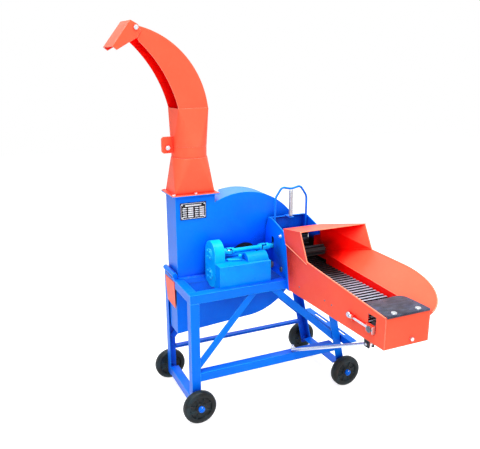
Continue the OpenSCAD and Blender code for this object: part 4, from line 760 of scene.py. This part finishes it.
# %% Wheels
HUB = ((0.115, 1.00), (0.27, 1.00), (0.31, 0.90))
WEB = ((0.33, 0.55), (0.64, 0.50))
SIDE_RING = ((0.68, 0.78), (0.70, 0.92), (0.76, 0.97), (0.86, 0.96))
SHOULDER = ((0.90, 0.90), (0.945, 0.80), (0.975, 0.66), (0.99, 0.52), (0.995, 0.40))
GROOVE = ((0.975, 0.37), (0.975, 0.31), (1.0, 0.28))
RIBS = 8
RIB_LENGTH = 0.37
RIB_WIDTH = 0.055
RIB_DEPTH = 0.32
RIB_MIDDLE = 0.49
RIB_LIFT = 0.6
WHEEL_STEPS = 96
WHEEL_ROUNDING = 0.0004


def make_wheel(name):
    low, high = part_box(name)
    centre = (low + high) / 2
    radius = (high.z - low.z) / 2
    half = (high.y - low.y) / 2
    outer = [(r * radius, a * half) for r, a in HUB + WEB + SIDE_RING + SHOULDER + GROOVE]
    section = outer + [(r, -a) for r, a in reversed(outer)]
    place = facing(centre, (0, -1, 0))
    bm = bmesh.new()
    spin(bm, section, place, WHEEL_STEPS)
    grow = Matrix.Diagonal((RIB_LENGTH * radius, RIB_WIDTH * radius, RIB_DEPTH * half, 1))
    for i in range(RIBS):
        spoke = place @ Matrix.Rotation(2 * math.pi * (i + 0.5) / RIBS, 4, "Z")
        for face in (-1, 1):
            rib = bmesh.ops.create_cube(bm, size=1)["verts"]
            shift = Matrix.Translation((RIB_MIDDLE * radius, 0, face * RIB_LIFT * half))
            bmesh.ops.transform(bm, verts=rib, matrix=spoke @ shift @ grow)
    piece = make_piece(name + "_moulding", bm, name, tyre_rubber, WHEEL_ROUNDING, 34)
    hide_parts(name)


WHEELS = ("front_left_wheel", "front_right_wheel", "rear_left_wheel", "rear_right_wheel")
for wheel_name in WHEELS:
    make_wheel(wheel_name)

# %% [markdown]
# ## Split pins
# A split pin through the end of each axle keeps its washer on. It is one bent wire, so a sweep along
# a looped path gives it.

# %% Split pins
PIN_WIRE = 0.0011
PIN_EYE = 0.0028
PIN_EYE_UP = 0.0125
PIN_KNEE = 0.008
PIN_LEG = 0.011
PIN_BEND = 0.004
PIN_OUT = 0.0108


def split_pin(bm, centre, outward):
    up = Vector((0, 0, 1))
    eye = [centre + up * (PIN_EYE_UP + PIN_EYE * math.sin(a)) + outward * (PIN_EYE * math.cos(a))
           for a in (math.radians(40 * k - 90) for k in range(10))]
    legs = [centre - up * PIN_LEG - outward * PIN_BEND, centre - up * PIN_KNEE]
    sweep(bm, legs + eye, PIN_WIRE, 6)


split_pins = bmesh.new()
frame_middle = middle_of("left_legs").y
for wheel_name in WHEELS:
    low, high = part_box(wheel_name)
    middle = (low + high) / 2
    front = middle.y < frame_middle
    outward = Vector((0, -1 if front else 1, 0))
    hub_face = Vector((middle.x, low.y if front else high.y, middle.z))
    split_pin(split_pins, hub_face + outward * PIN_OUT, outward)
make_piece("split_pins", split_pins, "frame", zinc)

# %% [markdown]
# ## The tension spring
# The spring pulls the upper roller down: its foot is hooked to the feed box and its head to the bail.
# It is swept as one wire and rides on no body.

# %% Tension spring
SPRING_CURLS = 40
CURL_STEPS = 20
WIRE = 0.0016

low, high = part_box("tension_spring")
axis = (low + high) / 2
coil = (high.x - low.x) / 2 - WIRE
foot = low.z + 2 * WIRE
head = high.z - 2 * WIRE
total = SPRING_CURLS * CURL_STEPS
wire_path = [Vector((axis.x + coil, axis.y, low.z))]
for i in range(total + 1):
    turn = 2 * math.pi * i / CURL_STEPS
    wire_path.append(Vector((axis.x + coil * math.cos(turn), axis.y + coil * math.sin(turn),
                             foot + (head - foot) * i / total)))
wire_path.append(Vector((axis.x + coil, axis.y, high.z)))
spring_mesh = bmesh.new()
sweep(spring_mesh, wire_path, WIRE, 10)
spring = make_piece("spring_coil", spring_mesh, None, spring_steel, sharp=80)
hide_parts("tension_spring")
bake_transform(spring)

# %% [markdown]
# ## The rubber mat
# A piece of belting covers the gap over the tail drum. It is bolted at the end plate, hangs over it
# in a short lip and sags a little towards its free edge, so it is a thin bent grid, not a slab.

# %% Rubber mat
MAT_SAG = 0.007
MAT_CELLS = 26
MAT_CORNER = 0.03
MAT_RIPPLE = 0.0006
MAT_WAVES = 3
LIP_REACH = 0.0036
LIP_DROP = 0.004


def mat_point(across, row, top):
    """A point of the mat's upper or under side. Row 0 is the lip, and the last rows have round corners."""
    low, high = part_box("rubber_flap")
    width = high.x - low.x
    length = high.y - low.y
    along = max(0, row - 1) / (MAT_CELLS - 1)
    into_corner = max(0.0, along * length - (length - MAT_CORNER))
    pinch = (MAT_CORNER - math.sqrt(MAT_CORNER ** 2 - into_corner ** 2)) / width
    across = pinch + (1 - 2 * pinch) * across
    ripple = MAT_RIPPLE * math.sin(across * math.pi * MAT_WAVES) * along
    drop = MAT_SAG * along ** 2 * (0.75 + 0.25 * math.cos((across - 0.5) * math.pi))
    level = high.z if top else low.z
    spot = Vector((low.x + width * across, low.y + length * along, level - drop + ripple))
    if row == 0:
        spot -= Vector((0, LIP_REACH, LIP_DROP / 3 if top else LIP_DROP))
    elif row == 1:
        spot.y -= LIP_REACH / 10
    return spot


mat = bmesh.new()
sheets = []
for top in (False, True):
    sheets.append([[mat.verts.new(mat_point(i / MAT_CELLS, k, top)) for i in range(MAT_CELLS + 1)]
                   for k in range(MAT_CELLS + 1)])
for sheet in sheets:
    for row, after in zip(sheet, sheet[1:]):
        for i in range(MAT_CELLS):
            mat.faces.new((row[i], row[i + 1], after[i + 1], after[i]))
under, over = sheets
for i in range(MAT_CELLS):
    for row in (0, MAT_CELLS):
        mat.faces.new((under[row][i], under[row][i + 1], over[row][i + 1], over[row][i]))
        mat.faces.new((under[i][row], under[i + 1][row], over[i + 1][row], over[i][row]))
mat_piece = make_piece("belt_mat", mat, "frame", belt_rubber, 0.0008, 50)
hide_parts("rubber_flap")

# %% [markdown]
# ## Flat and turned forms
# Two more moves make the small fittings: an outline given a thickness, and a line of radii turned into
# a solid with flat ends.

# %% Flat and turned forms
def slab(bm, outline, place, low, high):
    """A flat form: a closed outline of (u, v) points, thick from low to high along the Z axis of place."""
    rings = [[bm.verts.new(place @ Vector((u, v, h))) for u, v in outline] for h in (low, high)]
    count = len(outline)
    for i in range(count):
        n = (i + 1) % count
        bm.faces.new((rings[0][i], rings[0][n], rings[1][n], rings[1][i]))
    bm.faces.new(list(reversed(rings[0])))
    bm.faces.new(rings[1])


def rounded_box(width, height, corner, steps=6):
    """The outline of a rectangle with round corners, about its middle."""
    points = []
    for sx, sy, start in ((1, 1, 0), (-1, 1, 90), (-1, -1, 180), (1, -1, 270)):
        for k in range(steps + 1):
            a = math.radians(start + 90 * k / steps)
            points.append((sx * (width / 2 - corner) + corner * math.cos(a),
                           sy * (height / 2 - corner) + corner * math.sin(a)))
    return points


def turned(bm, profile, place, steps=24):
    """A solid with flat ends, from (radius, along) points about the Z axis of place."""
    turns = [2 * math.pi * (i + 0.5) / steps for i in range(steps)]
    rings = [[bm.verts.new(place @ polar(r, turn, a)) for turn in turns] for r, a in profile]
    for here, there in zip(rings, rings[1:]):
        for i in range(steps):
            n = (i + 1) % steps
            bm.faces.new((here[i], here[n], there[n], there[i]))
    bm.faces.new(list(reversed(rings[0])))
    bm.faces.new(rings[-1])


# %% [markdown]
# ## The nameplate
# The plate on the tower is a thin black panel with a bright rim, bright bare fields and a rivet in
# each corner. The fields stay empty, because a shared part carries no words. Their places and sizes
# are shares of the plate, counted from its middle.

# %% Nameplate
PLATE_RIM = 0.0024
PLATE_CORNER = 0.008
HEADING = (0.0, 0.33, 0.62, 0.09)
COLUMNS = ((-0.33, 0.16, 0.055), (-0.1, 0.2, 0.085), (0.13, 0.14, 0.055), (0.33, 0.18, 0.085))
FIELD_ROWS = 5
FIRST_ROW = 0.17
ROW_STEP = 0.125
FIELD_CORNER = 0.001
FIELD_SUNK = 0.0002
FIELD_HEIGHT = 0.0005
PLATE_RIVET = [(0.003, 0), (0.0028, 0.0008), (0.0018, 0.0015), (0.0006, 0.0018)]
RIVET_INSET = 0.0095

low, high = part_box("nameplate")
plate_width = high.x - low.x
plate_height = high.z - low.z
plate_face = facing(Vector(((low.x + high.x) / 2, low.y, (low.z + high.z) / 2)), (0, -1, 0))
bright = bmesh.new()
rim_line = rounded_box(plate_width - 3 * PLATE_RIM, plate_height - 3 * PLATE_RIM, PLATE_CORNER)
rim_path = [plate_face @ Vector((u, v, 0)) for u, v in rim_line + rim_line[:1]]
sweep(bright, rim_path, PLATE_RIM / 2, 8)
fields = [HEADING]
for row in range(FIELD_ROWS):
    fields += [(u, FIRST_ROW - ROW_STEP * row, width, height) for u, width, height in COLUMNS]
for u, v, width, height in fields:
    place = plate_face @ Matrix.Translation((u * plate_width, v * plate_height, 0))
    outline = rounded_box(width * plate_width, height * plate_height, FIELD_CORNER, 2)
    slab(bright, outline, place, -FIELD_SUNK, FIELD_HEIGHT)
for sx in (-1, 1):
    for sz in (-1, 1):
        across = sx * (plate_width / 2 - RIVET_INSET)
        up = sz * (plate_height / 2 - RIVET_INSET)
        turned(bright, PLATE_RIVET, plate_face @ Matrix.Translation((across, up, 0)))
make_piece("nameplate_fields", bright, "lid", zinc, sharp=50)

# %% [markdown]
# ## Hems on the trough and hood
# Sheet steel that hands reach over is folded back on itself, so each free edge is a round bead that
# catches the light. The beads follow the corners of the drawing, given here in its millimetres. One
# more bead is the weld that joins the hood's foot to the flare. The free-edge beads take a lighter copy of
# the orange as a painted highlight.

# %% Hems
DRAWING_X = 308.824
DRAWING_Y = -100
HEM = 0.0024
SEAM = 0.0028
BEND_X = 650
BEND_REAR_Y = 31
BEND_REAR_Z = 690
BEND_FALL = 28
FLARE_LENGTH = 727
FLARE_WIDTH = 148
FLARE_TILT = math.radians(24)
HEM_START = (204, 0.95 * FLARE_WIDTH)
ROUND_START = 431
ROUND_STEPS = 15
ROUND_STEP = math.radians(6)
BEND_SLOPE = math.atan2(BEND_FALL, FLARE_LENGTH)


def shop(x, y, z):
    """A point of the drawing, in millimetres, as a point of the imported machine."""
    return Vector(((x - DRAWING_X) / 1000, (y - DRAWING_Y) / 1000, z / 1000))


def flare_spot(along, out):
    """A point on the flare: along from its rear end, out from the bend."""
    rise = out * math.sin(FLARE_TILT)
    ahead = along * math.cos(BEND_SLOPE) + rise * math.sin(BEND_SLOPE)
    fall = along * math.sin(BEND_SLOPE) - rise * math.cos(BEND_SLOPE)
    return shop(BEND_X + out * math.cos(FLARE_TILT), BEND_REAR_Y - ahead, BEND_REAR_Z - fall)


flare_rim = [flare_spot(*HEM_START)]
for step in range(ROUND_STEPS):
    turn = step * ROUND_STEP
    along = ROUND_START + (FLARE_LENGTH - ROUND_START) * math.sin(turn)
    flare_rim.append(flare_spot(along, FLARE_WIDTH * math.cos(turn)))
hood_foot = shop(779, -182, 741)
hem_paths = {
    "hood top": [shop(454.5, -117, 838), shop(788, -115, 838)],
    "hood left cheek": [shop(456, -117, 838), shop(456.5, -178, 723)],
    "left panel top": [shop(458.5, -178, 723), shop(458.5, -693, 685)],
    "hood left foot": [shop(454.5, -178, 715), shop(454.5, 7, 753)],
    "hood right cheek": [shop(786, -116, 837), hood_foot],
    "flare rim": flare_rim,
}
hems = bmesh.new()
for path in hem_paths.values():
    sweep(hems, path, HEM, 8)
# The hems are painted lighter, as a highlight.
make_piece("sheet_hems", hems, "frame", highlit_orange_hem, sharp=60)
print("hems:", list(hem_paths))

seam = bmesh.new()
sweep(seam, [shop(650.5, 29, 693.2), hood_foot], SEAM, 8)
make_piece("hood_seam", seam, "frame", orange_enamel, sharp=60)

# %% [markdown]
# ## Rivets on the trough
# Three rivets hold the floor's flange inside the left panel. Their heads are low domes of dark steel.

# %% Rivets
RIVETS = ((-141, 604), (-339, 617), (-389, 617))
RIVET_DOME = [(0.0034, 0), (0.003, 0.0012), (0.0016, 0.002)]

rivets = bmesh.new()
panel_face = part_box("trough_left_panel")[0].x
for y, z in RIVETS:
    spot = shop(0, y, z)
    spot.x = panel_face
    turned(rivets, RIVET_DOME, facing(spot, (-1, 0, 0)), 16)
make_piece("panel_rivets", rivets, "frame", oiled_steel, sharp=40)

# %% [markdown]
# ## Hexagon bolts
# Solids carry only the largest bolts. The rest are added here: a round washer and a six-sided head
# with its corners turned off, on the feed box's plates and the bearing bracket. The places are shares
# of a node's box.

# %% Hexagon bolts
PLATE_BOLT = 0.011
LEFT_PLATE_BOLTS = ((0.375, 0.79), (0.2, 0.06))
RIGHT_PLATE_BOLTS = ((0.93, 0.6), (0.2, 0.06))
BRACKET_BOLT = 0.013
BRACKET_COLUMNS = (0.1, 0.9)
BRACKET_ROWS = (0.07, 0.2)
WASHER_SUNK = 0.0004


def hex_bolt(bm, point, outward, across):
    """A washer and a bolt head on a face. Its sizes are shares of the width across flats."""
    place = facing(point, outward)
    corner = across / 2 / math.cos(math.pi / 6)
    washer = [(across * 0.92, -WASHER_SUNK), (across * 0.92, across * 0.12), (across * 0.86, across * 0.15)]
    head = [(corner, across * 0.1), (corner, across * 0.66), (corner * 0.84, across * 0.78)]
    turned(bm, washer, place, 28)
    turned(bm, head, place, 6)


def at_share(name, x, y, z):
    """A point at shares of a node's box, from its lowest to its highest corner."""
    low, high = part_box(name)
    return Vector((low.x + (high.x - low.x) * x, low.y + (high.y - low.y) * y, low.z + (high.z - low.z) * z))


bolts = bmesh.new()
for along, up in LEFT_PLATE_BOLTS:
    hex_bolt(bolts, at_share("feed_side_plates", 0, along, up), (-1, 0, 0), PLATE_BOLT)
for along, up in RIGHT_PLATE_BOLTS:
    hex_bolt(bolts, at_share("feed_side_plates", 1, along, up), (1, 0, 0), PLATE_BOLT)
for across in BRACKET_COLUMNS:
    for up in BRACKET_ROWS:
        hex_bolt(bolts, at_share("bearing_bracket", across, 1, up), (0, 1, 0), BRACKET_BOLT)
make_piece("plate_bolts", bolts, "frame", zinc, sharp=30)

# %% [markdown]
# ## The drive chain
# The chain that drives the conveyor is drawn as a plain loop. A real one is rollers on pins, held by
# pairs of waisted plates, narrow and wide in turn. Pins are set along the loop and each pair of
# neighbours gets its plates.

# %% Drive chain
CHAIN_PITCH = 0.0127
PLATE_HALF = 0.0046
PLATE_WAIST = 0.72
PLATE_THICK = 0.0009
PLATE_PLAY = 0.0001
ROLLER_RADIUS = 0.0033
ROLLER_INSET = 0.002
END_STEPS = 8


def loop_spot(s, span, radius):
    """A place on a loop round two equal wheels: across and up from the middle of the loop."""
    arc = math.pi * radius
    if s < span:
        return s - span / 2, radius
    if s < span + arc:
        return span / 2 + radius * math.sin((s - span) / radius), radius * math.cos((s - span) / radius)
    if s < 2 * span + arc:
        return span / 2 - (s - span - arc), -radius
    a = (s - 2 * span - arc) / radius
    return -span / 2 - radius * math.sin(a), -radius * math.cos(a)


def chain_plate(first, second, half):
    """A chain plate's outline: a round end at each pin and a waist between them."""
    ahead = math.atan2(second[1] - first[1], second[0] - first[0])
    middle = ((first[0] + second[0]) / 2, (first[1] + second[1]) / 2)
    waist = PLATE_WAIST * half
    points = []
    for pin, start in ((second, -90), (first, 90)):
        for k in range(END_STEPS + 1):
            a = ahead + math.radians(start + 180 * k / END_STEPS)
            points.append((pin[0] + half * math.cos(a), pin[1] + half * math.sin(a)))
        side = ahead + math.radians(start + 180)
        points.append((middle[0] + waist * math.cos(side), middle[1] + waist * math.sin(side)))
    return points


low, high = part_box("drive_chain")
drive_axis = middle_of("conveyor_drive")
feed_axis = middle_of("lower_shaft")
span = math.hypot(feed_axis.y - drive_axis.y, feed_axis.z - drive_axis.z)
loop_radius = (high.y - low.y - span) / 2 - PLATE_HALF
loop_length = 2 * span + 2 * math.pi * loop_radius
link_count = 2 * round(loop_length / CHAIN_PITCH / 2)
tilt = math.atan2(feed_axis.z - drive_axis.z, feed_axis.y - drive_axis.y)
middle = Vector(((low.x + high.x) / 2, (drive_axis.y + feed_axis.y) / 2, (drive_axis.z + feed_axis.z) / 2))
sideways = Matrix(((0, 0, 1, 0), (1, 0, 0, 0), (0, 1, 0, 0), (0, 0, 0, 1)))
chain_face = Matrix.Translation(middle) @ Matrix.Rotation(tilt, 4, "X") @ sideways
half_width = (high.x - low.x) / 2
chain = bmesh.new()
pins = [loop_spot(loop_length * i / link_count, span, loop_radius) for i in range(link_count)]
for i, pin in enumerate(pins):
    after = pins[(i + 1) % link_count]
    out = half_width if i % 2 else half_width - PLATE_THICK - PLATE_PLAY
    for side in (-1, 1):
        face_low, face_high = sorted((side * out, side * (out - PLATE_THICK)))
        slab(chain, chain_plate(pin, after, PLATE_HALF), chain_face, face_low, face_high)
    roller_half = half_width - ROLLER_INSET
    place = chain_face @ Matrix.Translation((pin[0], pin[1], 0))
    turned(chain, [(ROLLER_RADIUS, -roller_half), (ROLLER_RADIUS, roller_half)], place, 12)
links = make_piece("chain_links", chain, "frame", oiled_steel, sharp=30)
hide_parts("drive_chain")
print("links:", link_count, "pitch:", round(loop_length / link_count * 1000, 2), "mm")

# %% [markdown]
# ## Eye nuts and washers
# The take-up rods end in forged eyes, so the conveyor can be tightened with a bar. Wide washers keep
# the mat's bolts from tearing through.

# %% Eye nuts
EYE_RADIUS = 0.0085
EYE_WIRE = 0.003
EYE_STEPS = 24
EYE_SHANK = [(0.0085, -0.005), (0.0085, 0.004), (0.006, 0.007)]
SHANK_BACK = 0.006
ROD_INSET = 0.0073

eyes = bmesh.new()
low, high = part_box("tail_takeup")
for x in (low.x + ROD_INSET, high.x - ROD_INSET):
    eye_middle = Vector((x, high.y - EYE_RADIUS, tail_middle.z))
    ring_path = [eye_middle + EYE_RADIUS * Vector((0, math.cos(a), math.sin(a)))
                 for a in (2 * math.pi * k / EYE_STEPS for k in range(EYE_STEPS + 1))]
    sweep(eyes, ring_path, EYE_WIRE, 10)
    shank_middle = eye_middle - Vector((0, EYE_RADIUS + SHANK_BACK, 0))
    turned(eyes, EYE_SHANK, facing(shank_middle, (0, 1, 0)), 6)
make_piece("takeup_eyes", eyes, "tail_takeup", zinc, sharp=50)

# %% Mat washers
MAT_WASHER = [(0.011, 0), (0.011, 0.0012), (0.01, 0.0016)]
BOLT_INSET = 0.01

washers = bmesh.new()
low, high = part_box("trough_bolts")
mat_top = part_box("rubber_flap")[1].z
for x in (low.x + BOLT_INSET, high.x - BOLT_INSET):
    spot = Vector((x, high.y - BOLT_INSET, mat_top))
    turned(washers, MAT_WASHER, facing(spot, (0, 0, 1)), 32)
make_piece("mat_washers", washers, "frame", turned_steel, sharp=30)
